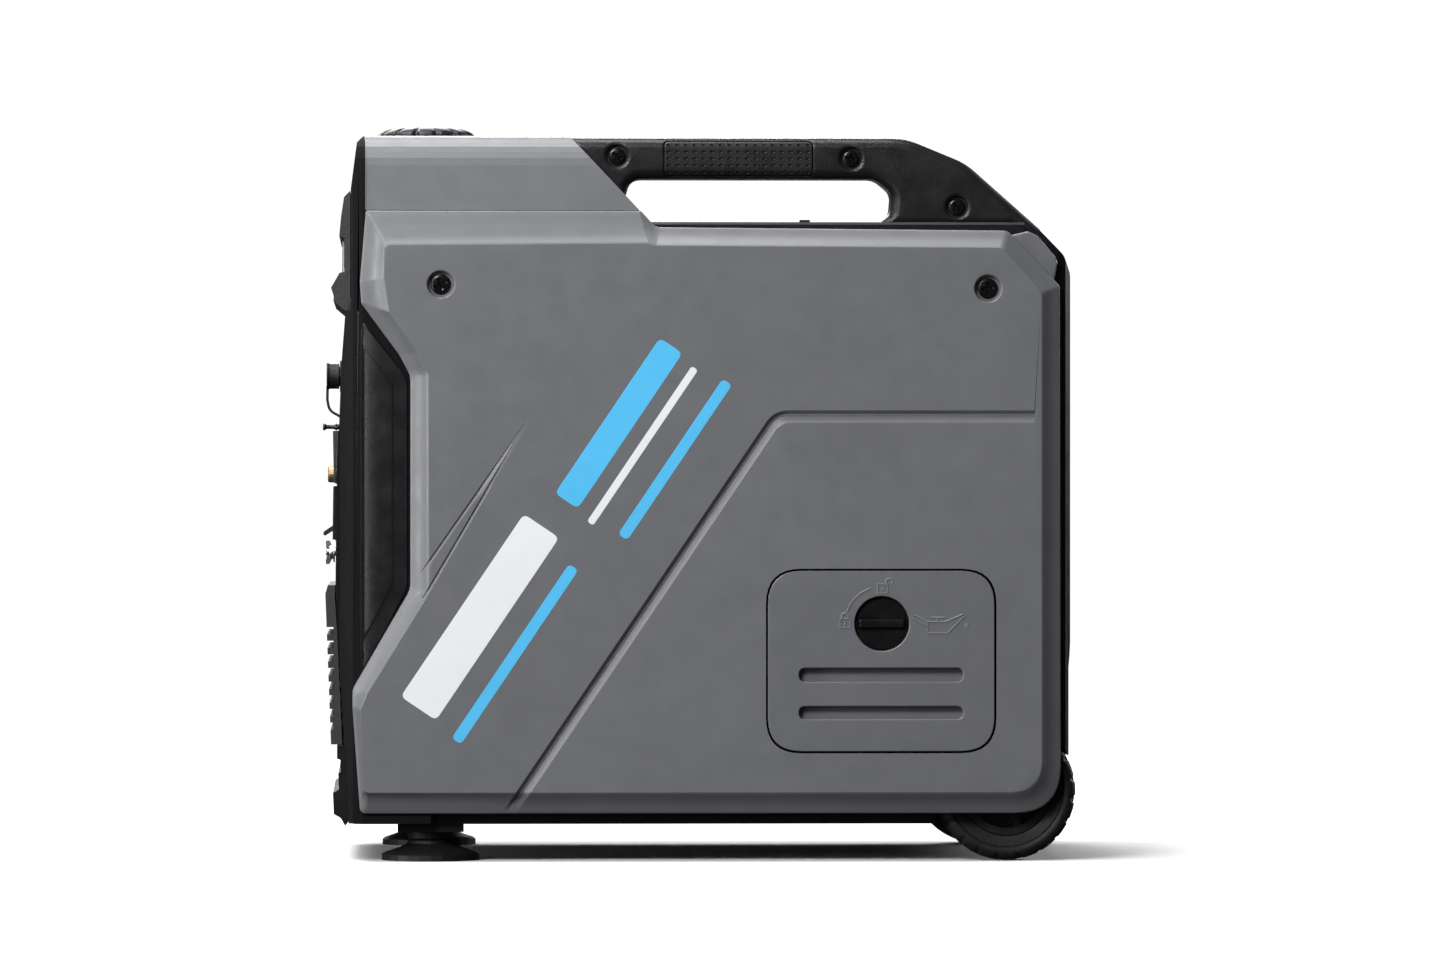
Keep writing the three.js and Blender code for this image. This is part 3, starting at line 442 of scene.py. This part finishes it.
def panel_mesh(holes):
    """Skin of a side panel: points (x, depth, z) and triangles, with the given holes left open."""
    outer, face = rounded(PANEL_OUTLINE), rounded(PANEL_FACE)
    points, edges = [], []

    def add(line, closed):
        first = len(points)
        points.extend(Vector(p) for p in line)
        edges.extend((first + i, first + i + 1) for i in range(len(line) - 1))
        if closed:
            edges.append((first + len(line) - 1, first))

    for step in BEVEL_STEPS:
        add([a.lerp(b, step) for a, b in zip(outer, face)], True)
    middle = bent(GROOVE_PATH)
    for side in GROOVE_SIDES:
        add(offset_line(middle, side), False)
    for foot in CREASE_FEET:
        line = [Vector(foot).lerp(Vector(CREASE_TIP), k / 12) for k in range(13)]
        for side in CREASE_SIDES:
            add(offset_line(line, side), False)
    for hole in holes:
        add(hole, True)
    flat, _, triangles, *_ = delaunay_2d_cdt(points, edges, [], 1, 0.01)
    flat = np.array([tuple(p) for p in flat])
    centres = np.array([flat[list(t)].mean(axis=0) for t in triangles])
    keep = inside(centres, outer)
    for hole in holes:
        keep &= ~inside(centres, hole)
    depth = panel_depth(flat, outer, face)
    skin = [t for t, kept in zip(triangles, keep) if kept]
    return flat, depth, skin


def border_loops(triangles):
    """Closed loops of point numbers along the open edges."""
    seen = {}
    for tri in triangles:
        for a, b in ((tri[0], tri[1]), (tri[1], tri[2]), (tri[2], tri[0])):
            if (b, a) in seen:
                del seen[(b, a)]
            else:
                seen[(a, b)] = True
    ahead = dict(seen.keys())
    loops = []
    while ahead:
        start, step = next(iter(ahead.items()))
        loop = [start]
        del ahead[start]
        while step != start:
            loop.append(step)
            step = ahead.pop(step)
        loops.append(loop)
    return loops


# Rows (distance outwards, y) that turn the panel's skin inwards at its border and its holes.
BORDER_ROWS = [(0, RIM_Y + 3), (0, RIM_Y)]
OPENING_ROWS = [(0, FACE_Y - 0.3), (0, FACE_Y - 0.8), (0, FACE_Y - 3)]
WELL_ROWS = [
    (-0.6, FACE_Y - 0.2), (-1.1, FACE_Y - 0.7), (-1.4, FACE_Y - 1.5), (-2.2, FACE_Y - 5.6),
    (-9.4, FACE_Y - 6.2), (-9.4, FACE_Y - 9),
]
BORDER_WIDTH = 500
WELL_WIDTH = 30


def turned_in(line):
    """Rows for one open edge of the panel, told apart by its width."""
    width = np.ptp(line[:, 0])
    if width > BORDER_WIDTH:
        return BORDER_ROWS
    return WELL_ROWS if width < WELL_WIDTH else OPENING_ROWS


def side_panel(name, way, holes, wells):
    """Moulded panel with its border turned in and its holes lipped."""
    flat, depth, skin = panel_mesh(holes + [ring_outline(x, z, WELL_R + 1.2) for x, z in wells])
    verts = [[x, d, z] for (x, z), d in zip(flat, depth)]
    faces = [list(t) for t in skin]
    for loop in border_loops(skin):
        line = flat[loop]
        middle = line.mean(axis=0)
        last = list(loop)
        for grow, level in turned_in(line):
            fresh = []
            for point in line:
                spot = Vector(point) + Vector(point - middle).normalized() * grow
                fresh.append(len(verts))
                verts.append([spot.x, level, spot.y])
            for k in range(len(loop)):
                m = (k + 1) % len(loop)
                faces.append([last[k], fresh[k], fresh[m], last[m]])
            last = fresh
    verts = [(x, way * d, z) for x, d, z in verts]
    obj = piece(name, verts, faces, GREY, "machine", replaces=[name], slot="grey_plastic", smooth=28)
    wall = obj.modifiers.new("wall", "SOLIDIFY")
    wall.thickness = PANEL_WALL * MM
    wall.offset = -1
    obj.modifiers.move(1, 0)
    return obj


door_hole = box_outline(
    DOOR[0] - DOOR_GAP, DOOR[1] + DOOR_GAP, DOOR[2] - DOOR_GAP, DOOR[3] + DOOR_GAP, DOOR_R + 1.5,
)
side_panel("right_side_panel", -1, [door_hole], SCREWS)
side_panel("left_side_panel", 1, [], SCREWS)


# ---------------------------------------------------------- moulded reliefs


def contour(loop, distance, spacing=2.0):
    """Closed outline moved outwards (or inwards when negative), without folded-over points."""
    dense = []
    for i, point in enumerate(loop):
        ahead = loop[(i + 1) % len(loop)]
        steps = max(1, math.ceil((ahead - point).length / spacing))
        dense += [point.lerp(ahead, k / steps) for k in range(steps)]
    moved = []
    for i, point in enumerate(dense):
        run = dense[(i + 1) % len(dense)] - dense[i - 1]
        if run.length > 1e-6:
            run.normalize()
            moved.append(point + Vector((run.y, -run.x)) * distance)
    if not moved or not distance:
        return moved
    away = distances(np.array([tuple(p) for p in moved]), loop)
    return [p for p, d in zip(moved, away) if d > abs(distance) - 0.04]


def relief(name, way, outline, section, top, back, features, mat, body, edge_of=None, lines=(),
           curve=None, **more):
    """Moulding seen from one side, its outline counter-clockwise.

    section and each feature's profile are (distance, drop) rows: section inwards from edge_of or
    the outline, a profile outwards from its loop. curve gives a further drop, for which lines adds
    rows of points.
    """
    points, edges = [], []

    def add(loop):
        first, count = len(points), len(loop)
        points.extend(loop)
        for i in range(count):
            j = (i + 1) % count
            if (loop[i] - loop[j]).length < 4:
                edges.append((first + i, first + j))

    for distance, _ in section:
        add(contour(outline, -distance))
    for loop, profile in features:
        for distance, _ in profile:
            add(contour(loop, distance, 1.2))
    for line in lines:
        edges.append((len(points), len(points) + 1))
        points.extend(Vector(p) for p in line)
    flat, _, triangles, *_ = delaunay_2d_cdt(points, edges, [], 0, 0.01)
    flat = np.array([tuple(p) for p in flat])
    centres = np.array([flat[list(t)].mean(axis=0) for t in triangles])
    skin = [t for t, kept in zip(triangles, inside(centres, outline)) if kept]
    rim = edge_of or outline
    drop = np.interp(distances(flat, rim), *zip(*section))
    for loop, profile in features:
        signed = distances(flat, loop) * np.where(inside(flat, loop), -1, 1)
        drop = drop + np.interp(signed, *zip(*profile))
    if curve:
        drop = drop + curve(flat)
    verts = [(x, way * (top - d), z) for (x, z), d in zip(flat, drop)]
    faces = [list(t) for t in skin]
    for loop in border_loops(skin):
        first = len(verts)
        verts += [(flat[i][0], way * back, flat[i][1]) for i in loop]
        count = len(loop)
        for k in range(count):
            m = (k + 1) % count
            faces.append([loop[k], first + k, first + m, loop[m]])
        faces.append([first + k for k in range(count)])
    return piece(name, verts, faces, mat, body, **more)


def arc_section(radius, steps=6):
    """Quarter-round edge as (distance from the edge, drop) rows."""
    rows = []
    for k in range(steps + 1):
        angle = math.pi / 2 * k / steps
        rows.append((radius * (1 - math.cos(angle)), radius * (1 - math.sin(angle))))
    return rows


def well(deep, lip=0.5):
    """Straight-walled recess with a softened lip."""
    return [(-0.35, deep), (-0.2, deep - 0.4), (0, lip), (lip * 0.6, lip * 0.3), (lip * 1.6, 0)]


def ribbon(paths, half, y0, y1):
    """Raised strokes along open or closed paths, as points and faces."""
    verts, faces = [], []
    for path, closed in paths:
        count = len(path)
        first = len(verts)
        for i, point in enumerate(path):
            before = path[i - 1] if i or closed else point
            after = path[(i + 1) % count] if i + 1 < count or closed else point
            run = (Vector(after) - Vector(before)).normalized()
            side = Vector((-run.y, run.x))
            for across, level in ((-half, y0), (-half * 0.5, y1), (half * 0.5, y1), (half, y0)):
                spot = Vector(point) + side * across
                verts.append((spot.x, level, spot.y))
        for i in range(count if closed else count - 1):
            a, b = first + 4 * i, first + 4 * ((i + 1) % count)
            faces += [(a + k, b + k, b + k + 1, a + k + 1) for k in range(3)]
            faces.append((a, a + 3, b + 3, b))
        if not closed:
            last = first + 4 * (count - 1)
            faces += [(first, first + 1, first + 2, first + 3), (last + 3, last + 2, last + 1, last)]
    return verts, faces


for side, way in (("right", -1), ("left", 1)):
    relief(
        side + "_panel_facet", way, rounded(PANEL_FACET, 5), [(0, 1.3), (0.4, 0.5), (1.3, 0)],
        205.6, RIM_Y, [], GREY, "machine", slot="grey_plastic",
    )

# ------------------------------------------------------------- front cheeks

CHEEK = [
    (-281.5, 132, 4), (-254, 180, 10), (-233.5, 219, 20), (-233.5, 387, 20), (-264, 425, 8),
    (-281.5, 456, 3),
]
CHEEK_RIM = [(-340, 30, 4)] + CHEEK[1:5] + [(-340, 560, 3)]
CHEEK_BEND_X = -256
CHEEK_BEND_R = 62
CHEEK_LEDGE = [(0, 2.2), (0.6, 1.2), (1.8, 0.9), (11, 0.8), (12.2, 0.3), (13.4, 0)]


def cheek_curve(points):
    """The cheek turns towards the front face."""
    over = np.clip((CHEEK_BEND_X - points[:, 0]) / CHEEK_BEND_R, 0, 1)
    return CHEEK_BEND_R * (1 - np.sqrt(1 - over ** 2))


for side, way in (("right", -1), ("left", 1)):
    relief(
        side + "_cheek", way, rounded(CHEEK), CHEEK_LEDGE, 208.4, 190, [], CHEEK_BLACK, "machine",
        slot="black_plastic", curve=cheek_curve, edge_of=rounded(CHEEK_RIM),
        lines=[((x, 120), (x, 470)) for x in np.arange(-281, -255, 1.6)],
    )

# ------------------------------------------------------------------ oil door

DOOR_TOP = 219.6
RECESS = 7.6
door_edge = box_outline(*DOOR, DOOR_R)
slot_loops = [box_outline(x0, x1, z0, z1, (z1 - z0) / 2, 6) for x0, x1, z0, z1 in DOOR_SLOTS]
relief(
    "oil_door_plate", -1, door_edge, [(0, 0.7), (0.25, 0.25), (0.8, 0)], DOOR_TOP, DOOR_TOP - 8.2,
    [(loop, well(RECESS)) for loop in [ring_outline(*KNOB, KNOB_R + 0.9)] + slot_loops],
    GREY, "oil_door", replaces=["oil_door"], slot="grey_plastic",
)


def padlock(x, z, opened):
    """Strokes of a padlock, its hoop swung aside when opened."""
    body = [(x - 4, z - 4.6), (x + 4, z - 4.6), (x + 4, z + 2.4), (x - 4, z + 2.4)]
    shift = 5.4 if opened else 0
    hoop = [
        (x + shift + 2.7 * math.cos(a), z + 4.2 + 3 * math.sin(a))
        for a in np.linspace(-0.4, math.pi + 0.4, 9)
    ]
    return [(body, True), (hoop, False), ([(x, z), (x, z - 2.4)], False)]


def oil_can(x, z):
    """Strokes of an oil can with a drop at its spout."""
    pot = [(x - 9, z - 6.4), (x + 7, z - 6.4), (x + 21, z + 7.4), (x + 19, z + 8.4),
           (x + 5.4, z + 2.6), (x - 9, z + 2.6)]
    spout = [(x - 9, z + 2.4), (x - 19, z + 8), (x - 21, z + 5.6), (x - 9.4, z - 0.6)]
    lid = [(x - 6, z + 6), (x + 4, z + 6)]
    drop = [(x + 22.4 + 0.9 * math.cos(a), z - 0.6 + 1.2 * math.sin(a))
            for a in np.linspace(0, 2 * math.pi, 9)[:-1]]
    return [(pot, True), (spout, False), (lid, False), ([(x - 1, z + 6), (x - 1, z + 2.8)], False),
            (drop, True)]


kx, kz = KNOB
sweep = [
    (kx + 29.6 * math.cos(a), kz + 29.6 * math.sin(a))
    for a in np.linspace(math.radians(108), math.radians(160), 20)
]
icons = padlock(kx + 0.6, kz + 29, True) + padlock(kx - 29.4, kz + 1.4, False)
icons += oil_can(kx + 45.6, kz - 1.2) + [(sweep, False)]
piece("oil_door_icons", *ribbon(icons, 0.85, -DOOR_TOP + 0.05, -DOOR_TOP - 0.36), GREY, "oil_door",
      smooth=25)

knob_face = ring_outline(kx, kz, KNOB_R, 72)
relief(
    "door_knob", -1, knob_face, [(0, 0.9), (0.3, 0.35), (1.0, 0)], 215.2, 212.6,
    [(box_outline(kx - 18.6, kx + 18.6, kz - 3.8, kz + 3.8, 1.2, 3),
      [(-1.3, -3.6), (-0.5, -3.2), (0, -0.6), (0.6, 0)])],
    KNOB_SHADE_BLACK, "oil_door_knob", replaces=["oil_door_knob"], slot="black_plastic",
)
turned("door_knob_shaft", [(7.6, -214), (7.6, -209)], "y", KNOB, SOFT, "oil_door_knob")
prism("door_knob_latch", box_outline(kx - 6, kx + 6, kz - 9, kz + 36, 2, 3), -211.4, -209.1, SOFT,
      "oil_door_knob", bevel=0.3)

# ------------------------------------------------------------------- handle

HANDLE_HALF = 22
GRIP_PROUD = 0.05
GRIP_BACK = 12
HANDLE_ARCH = [
    (-107.6, 586.7, 3), (-56.4, 532, 1), (-50.4, 552.6, 12), (150, 552.6, 16), (164, 541, 12),
    (162.5, 524, 9), (149, 513.2, 3), (262, 513.2, 2), (274.6, 507.4, 2), (287, 495.4, 1),
    (287, 511.3, 3), (225.3, 566, 60), (175, 586.7, 60),
]
HANDLE_SCREWS = [(-61.7, 571.7), (130.5, 569.7), (217.6, 530)]
GRIP_BOX = (-22.7, 98.8, 555.4, 583.4)
HANDLE_EDGE = arc_section(8.5, 7)
BOLT_WELL = [(-0.5, 4.4), (-0.2, 3.4), (0, 0.9), (1.2, 0.25), (2.6, 0)]
DIMPLE_ROWS, DIMPLE_COLUMNS = 5, 17
DIMPLE = [(-0.9, 1.1), (-0.4, 0.9), (0, 0)]

handle_outline = rounded(HANDLE_ARCH)
grip_outline = box_outline(*GRIP_BOX, 4, 6)


def dimples():
    """Outlines of the oval dimples that cover the grip."""
    x0, x1, z0, z1 = GRIP_BOX
    loops = []
    for row in range(DIMPLE_ROWS):
        z = z0 + (z1 - z0) * (row + 0.5) / DIMPLE_ROWS
        for column in range(DIMPLE_COLUMNS):
            x = x0 + (x1 - x0) * (column + 0.5) / DIMPLE_COLUMNS
            loops.append(box_outline(x - 1.9, x + 1.9, z - 1.1, z + 1.1, 1.0, 3))
    return loops


for side, way in (("right", -1), ("left", 1)):
    bosses = [(ring_outline(x, z, 9.2, 48), BOLT_WELL) for x, z in HANDLE_SCREWS]
    seat = (grip_outline, [(0.2, 1.3), (0.5, 1.0), (1.0, 0.2), (1.6, 0)])
    relief(
        side + "_handle_shell", way, handle_outline, HANDLE_EDGE, HANDLE_HALF, 0.2, bosses + [seat],
        SOFT, "machine", replaces=[side + "_handle_half"], slot="black_plastic",
    )
    relief(
        side + "_grip", way, grip_outline, HANDLE_EDGE, HANDLE_HALF + GRIP_PROUD, GRIP_BACK,
        [(grip_outline, [(-0.8, 0), (-0.3, 0.15), (0, 0.6)])]
        + [(loop, DIMPLE) for loop in dimples()],
        GRIP, "machine", edge_of=handle_outline, replaces=[side + "_grip_pad"], slot="rubber",
    )
prism("handle_tongue", [(-116, 540), (-60, 540), (-60, 562), (-116, 562)], -10, 10, SOFT, "machine",
      bevel=1.0)


def cross_screw(name, x, z, radius, top, back, way, turn, node=None, slot="dark_steel"):
    """Domed screw head with a cross recess."""
    arm, half = radius * 0.7, radius * 0.17
    plus = [(arm, half), (half, half), (half, arm), (-half, arm), (-half, half), (-arm, half),
            (-arm, -half), (-half, -half), (-half, -arm), (half, -arm), (half, -half), (arm, -half)]
    cos, sin = math.cos(turn), math.sin(turn)
    cross = [Vector((x + a * cos - b * sin, z + a * sin + b * cos)) for a, b in plus]
    dome = [(0, 1.4), (0.3, 0.8), (0.8, 0.5), (radius * 0.35, 0.2), (radius * 0.7, 0.05), (radius, 0)]
    return relief(
        name, way, ring_outline(x, z, radius, 40), dome, top, back,
        [(cross, [(-half * 0.9, 1.7), (-half * 0.4, 1.2), (0, 0)])], SCREW, "machine",
        replaces=[node] if node else (), slot=slot,
    )


turns = {"front": 0.35, "rear": 0.1, "middle": 0.8}
for side, way in (("right", -1), ("left", 1)):
    for end, (x, z) in zip(("front", "rear"), SCREWS):
        cross_screw(side + "_" + end + "_head", x, z, 8.2, 216.2, 213.4, way, turns[end],
                    side + "_" + end + "_screw")
for end, (x, z) in zip(("front", "middle", "rear"), HANDLE_SCREWS):
    for way in (-1, 1):
        cross_screw(end + "_bolt_head" + ("_near" if way < 0 else "_far"), x, z, 6.8, 20.6, 17.4, way,
                    turns[end] + way, end + "_handle_bolt")

# ---------------------------------------------------------------- wheels, cap

WHEEL_X, WHEEL_R, RIM_R = 247.2, 56, 36
TREAD_BLOCKS = 20
tread = [
    (RIM_R + 0.6, 163.4), (WHEEL_R - 12, 161.2), (WHEEL_R - 10.6, 161.8), (WHEEL_R - 9, 160.5),
    (WHEEL_R - 6, 160.2), (WHEEL_R - 2.4, 162), (WHEEL_R - 0.4, 165.5), (WHEEL_R, 170),
    (WHEEL_R, 177.4), (WHEEL_R - 2.2, 178), (WHEEL_R - 2.2, 180), (WHEEL_R, 180.6),
    (WHEEL_R, 188), (WHEEL_R - 0.4, 192.5), (WHEEL_R - 2.4, 196), (WHEEL_R - 6, 197.8),
    (WHEEL_R - 9, 197.5), (WHEEL_R - 10.6, 196.2), (WHEEL_R - 12, 196.8), (RIM_R + 0.6, 194.6),
]


def tread_wave(radius, along, angle):
    """Blocks separated by cross grooves, staggered across the middle groove."""
    shift = 0.5 if abs(along) > 179 else 0.0
    phase = (angle / (2 * math.pi) * TREAD_BLOCKS + shift) % 1
    outward = max(0.0, (radius - (WHEEL_R - 7)) / 7)
    return radius - (2.0 * outward if phase < 0.2 else 0.0)


for side, way in (("right", -1), ("left", 1)):
    turned(side + "_tread", [(r, way * y) for r, y in tread], "y", (WHEEL_X, WHEEL_R), TYRE,
           side + "_wheel", count=TREAD_BLOCKS * 10, closed=True, wave=tread_wave,
           replaces=[side + "_tyre"], slot="tyre", smooth=40)

CAP_X, CAP_R, CAP_TOP = -218.3, 40.9, 596
CAP_LOBES = 14
cap_profile = [
    (2, CAP_TOP - 3.6), (CAP_R - 12, CAP_TOP - 3.6), (CAP_R - 5, CAP_TOP - 6.2),
    (CAP_R - 4, CAP_TOP - 13.4), (CAP_R - 0.6, CAP_TOP - 13.5), (CAP_R - 0.1, CAP_TOP - 12.8),
    (CAP_R - 0.2, CAP_TOP - 9.5), (CAP_R - 1.6, CAP_TOP - 6.4), (CAP_R - 4.4, CAP_TOP - 4.2),
    (CAP_R - 9, CAP_TOP - 2.4), (CAP_R - 14, CAP_TOP - 1.4), (CAP_R - 16, CAP_TOP - 1.8),
    (CAP_R - 18, CAP_TOP - 1.1), (14, CAP_TOP - 0.3), (2, CAP_TOP - 0.1),
]


def cap_wave(radius, along, angle):
    """Finger scallops round the rim of the cap."""
    if radius < CAP_R - 10 or along > CAP_TOP - 1.6 or along < CAP_TOP - 13:
        return radius
    bite = max(0.0, math.cos(angle * CAP_LOBES)) ** 3
    return radius - 3.0 * bite


turned("fuel_cap_grip", cap_profile, "z", (CAP_X, 0), BLACK, "fuel_cap", count=CAP_LOBES * 16,
       closed=True, wave=cap_wave, replaces=["fuel_cap"], slot="black_plastic", smooth=45)

# ---------------------------------------------------------- small front items

SOCKET_Y, SOCKET_Z = 30, 391.2
PULL_Y, PULL_Z = -15, 349.2
GROUND_Y, GROUND_Z = -165, 247.6

turned("socket_cap_body", [
    (0.5, -300.2), (10.6, -300.2), (11.2, -299.8), (11.2, -299), (10.7, -298.5), (10.3, -297),
    (10.3, -291.2), (10.6, -290.4), (10.2, -289.8), (8.8, -289.8), (8.7, -297.3), (0.5, -297.3),
], "x", (SOCKET_Y, SOCKET_Z), RUBBER, "dc_socket_cap", replaces=["dc_socket_cap"], slot="rubber",
    closed=True)


def strap(name, path, half, thick, body):
    """Flat rubber strap bent along a path of (x, z) points."""
    line = bent([(x, z, r) for x, z, r in path], 8)
    verts, faces = [], []
    for i, point in enumerate(line):
        run = (line[min(i + 1, len(line) - 1)] - line[max(i - 1, 0)]).normalized()
        side = Vector((-run.y, run.x)) * thick / 2
        for y, across in ((-half, side), (half, side), (half, -side), (-half, -side)):
            spot = point + across
            verts.append((spot.x, SOCKET_Y + y, spot.y))
    for i in range(len(line) - 1):
        for k in range(4):
            m = (k + 1) % 4
            faces.append((4 * i + k, 4 * i + m, 4 * i + 4 + m, 4 * i + 4 + k))
    faces += [(0, 1, 2, 3), tuple(4 * len(line) - 1 - k for k in range(4))]
    return piece(name, verts, faces, RUBBER, body, slot="rubber")


def hanging(name, path, half, thick):
    """Strap from the cap at its first point to the machine at its last, left fixed in the world on no
    body.
    """
    obj = strap(name, path, half, thick, "dc_socket_cap")
    obj.parent = None
    obj.matrix_world = Matrix.Identity(4)
    del obj["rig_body"]
    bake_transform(obj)
    return obj


hanging("socket_cap_strap", [(-299.4, 383, 0), (-299.6, 372, 6), (-298, 363, 10), (-288, 357.5, 0)],
        3.2, 2.2)

turned("pull_knob_stem", [
    (0.4, -303), (2.5, -302.9), (2.9, -302.2), (2.9, -301.4), (2.2, -300.6), (1.7, -299.6),
    (1.8, -294), (2.4, -292.8), (3.0, -291.8), (2.2, -291.2), (2.1, -268.4), (0.4, -268.4),
], "x", (PULL_Y, PULL_Z), SOFT, "pull_knob", count=32, replaces=["pull_knob"], slot="black_plastic",
    closed=True)

turned("ground_stud", [
    (0.4, -299.4), (2.4, -299.2), (2.9, -298.6), (2.9, -296.6), (5.0, -296.4), (5.6, -295.4),
    (5.6, -293.6), (8.0, -293.4), (8.2, -293.0), (8.2, -292.2), (3.0, -292.0), (3.0, -276), (0.4, -276),
], "x", (GROUND_Y, GROUND_Z), STEEL, "machine", count=32, replaces=["ground_terminal"], slot="steel",
    closed=True)
for way in (-1, 1):
    wing = rounded([
        (-293.8, GROUND_Z + way * 4, 0.5), (-296.4, GROUND_Z + way * 9.6, 1.5),
        (-300, GROUND_Z + way * 9.8, 1.5), (-299.4, GROUND_Z + way * 3.6, 1), (-297, GROUND_Z, 1),
    ], 4)
    prism("ground_wing" + ("_low" if way < 0 else "_high"), wing, GROUND_Y - 1.5, GROUND_Y + 1.5, STEEL,
          "machine", bevel=0.4)

# -------------------------------------------------------------------- decals

DECAL_ANGLE = math.radians(56)
DECALS = [
    ("white_band", -176, 196, 176, 34, WHITE), ("blue_underline", -148, 166.4, 168, 9, BLUE),
    ("blue_band", -65, 351, 150, 22, BLUE), ("white_line", -46, 333, 150, 6, WHITE),
    ("blue_line", -20, 322, 150, 9, BLUE),
]
for way, side in ((-1, "right"), (1, "left")):
    for label, x, z, length, width, mat in DECALS:
        plate = box_outline(-length / 2, length / 2, -width / 2, width / 2, min(width / 2.2, 5), 5)
        cos, sin = math.cos(DECAL_ANGLE), math.sin(DECAL_ANGLE)
        outline = [(x + p.x * cos - p.y * sin, z + p.x * sin + p.y * cos) for p in plate]
        prism(side + "_" + label, outline, way * (FACE_Y - 0.1), way * (FACE_Y + 0.06), mat, "machine")

# -------------------------------------------------------------- other nodes

# Each node's finish and the rounding of its edges.
FINISHES = {
    # front_shell takes the darker copy of the black plastic, as painted shade.
    "base_tray": (BLACK, 0.8), "front_shell": (BEZEL_SHADE_BLACK, 0.8), "rear_shell": (BLACK, 0.6),
    "rear_cover": (BLACK, 0.5), "deck_cover": (BLACK, 0.8), "top_cover": (GREY, 1.6),
    "fuel_cap_plug": (BLACK, 0.3), "fuel_tank": (BLACK, 1.0), "right_wheel_rim": (SOFT, 0.5),
    "left_wheel_rim": (SOFT, 0.5), "axle": (STEEL, 0.4), "right_foot": (RUBBER, 0.4),
    "left_foot": (RUBBER, 0.4), "control_panel": (DARK, 0.8), "display_lens": (LENS, 0.2),
    "start_button": (RED, 0.4), "eco_switch": (SOFT, 0.3), "dc_socket": (BLACK, 0.3),
    "upper_outlet": (BLACK, 0.2), "upper_outlet_cover": (DARK, 0.3),
    "lower_outlet": (BLACK, 0.2), "lower_outlet_cover": (RUBBER, 0.3),
    "gas_inlet": (BRASS, 0.3), "intake_grille": (DARK, 0.4),
    "lower_skirt": (BLACK, 0.6), "engine_block": (ALLOY, 1.0), "cylinder_head": (IRON, 0.5),
    "spark_plug": (RUBBER, 0.3), "oil_filler_cap": (BLACK, 0.4), "rotor_fan": (ALLOY, 0.3),
    "stator": (IRON, 0.4), "blower_housing": (BLACK, 0.4), "carburettor": (ALLOY, 0.4),
    "air_filter_box": (BLACK, 1.0), "muffler": (STEEL, 0.8), "inverter_module": (ALLOY, 0.4),
    "battery": (BLACK, 0.8),
}
for node, (finish, width) in FINISHES.items():
    refine(node, finish, width)

# ------------------------------------------------------- studio and camera

# The floor catches shadows, but throws no light back on the object.
FLOOR_R = 2.6
floor_mesh = bpy.data.meshes.new("floor")
circle = [2 * math.pi * k / 96 for k in range(96)]
floor_mesh.from_pydata([(FLOOR_R * math.cos(a), FLOOR_R * math.sin(a), 0) for a in circle], [],
                       [list(range(96))])
floor = bpy.data.objects.new("floor", floor_mesh)
bpy.context.scene.collection.objects.link(floor)
floor_mesh.materials.append(FLOOR)
floor.visible_diffuse = False
floor.visible_glossy = False


def softbox(name, place, target, size, power):
    """Rectangular lamp turned towards a target, in metres and watts."""
    lamp = bpy.data.lights.new(name, "AREA")
    lamp.shape = "RECTANGLE"
    lamp.size, lamp.size_y = size
    lamp.energy = power
    obj = bpy.data.objects.new(name, lamp)
    bpy.context.scene.collection.objects.link(obj)
    obj.location = place
    obj.rotation_euler = (Vector(target) - Vector(place)).to_track_quat("-Z", "Y").to_euler()


CENTRE = (0, 0, 0.3)
softbox("top", (-1.1, -0.2, 3.8), CENTRE, (2.2, 2.4), 230)
softbox("key", (-1.5, -3.2, 2.3), CENTRE, (1.6, 1.0), 120)
softbox("left", (-3.4, -1.5, 0.6), CENTRE, (1.0, 2.6), 95)
softbox("strip", (-2.0, -3.8, 0.4), CENTRE, (0.35, 2.6), 22)
softbox("back", (-0.8, 3.4, 2.2), CENTRE, (3.0, 1.6), 130)
softbox("rear", (3.0, 2.2, 1.6), CENTRE, (1.6, 1.6), 80)

# The backdrop is white, while the light that falls on the object comes from the softboxes.
AMBIENT = 0.05
world = bpy.data.worlds.new("studio")
world.use_nodes = True
sky = world.node_tree
dim = sky.nodes["Background"]
dim.inputs["Color"].default_value = (AMBIENT, AMBIENT, AMBIENT, 1)
white = sky.nodes.new("ShaderNodeBackground")
white.inputs["Color"].default_value = (1, 1, 1, 1)
white.inputs["Strength"].default_value = 1.05
rays = sky.nodes.new("ShaderNodeLightPath")
choice = sky.nodes.new("ShaderNodeMixShader")
sky.links.new(rays.outputs["Is Camera Ray"], choice.inputs["Fac"])
sky.links.new(dim.outputs["Background"], choice.inputs[1])
sky.links.new(white.outputs["Background"], choice.inputs[2])
sky.links.new(choice.outputs["Shader"], sky.nodes["World Output"].inputs["Surface"])
bpy.context.scene.world = world
bpy.context.scene.view_settings.view_transform = "Standard"

AZIMUTH = math.radians(-2)
DISTANCE = 7.52
AIM = Vector((0.018, -0.220, 0.304))
camera_data = bpy.data.cameras.new("camera")
camera_data.sensor_width = 36
camera_data.lens = 234.2
camera = bpy.data.objects.new("camera", camera_data)
bpy.context.scene.collection.objects.link(camera)
camera.location = AIM + Vector((math.sin(AZIMUTH), -math.cos(AZIMUTH), 0)) * DISTANCE
camera.rotation_euler = (math.pi / 2, 0, AZIMUTH)
bpy.context.scene.camera = camera

bpy.context.view_layer.update()
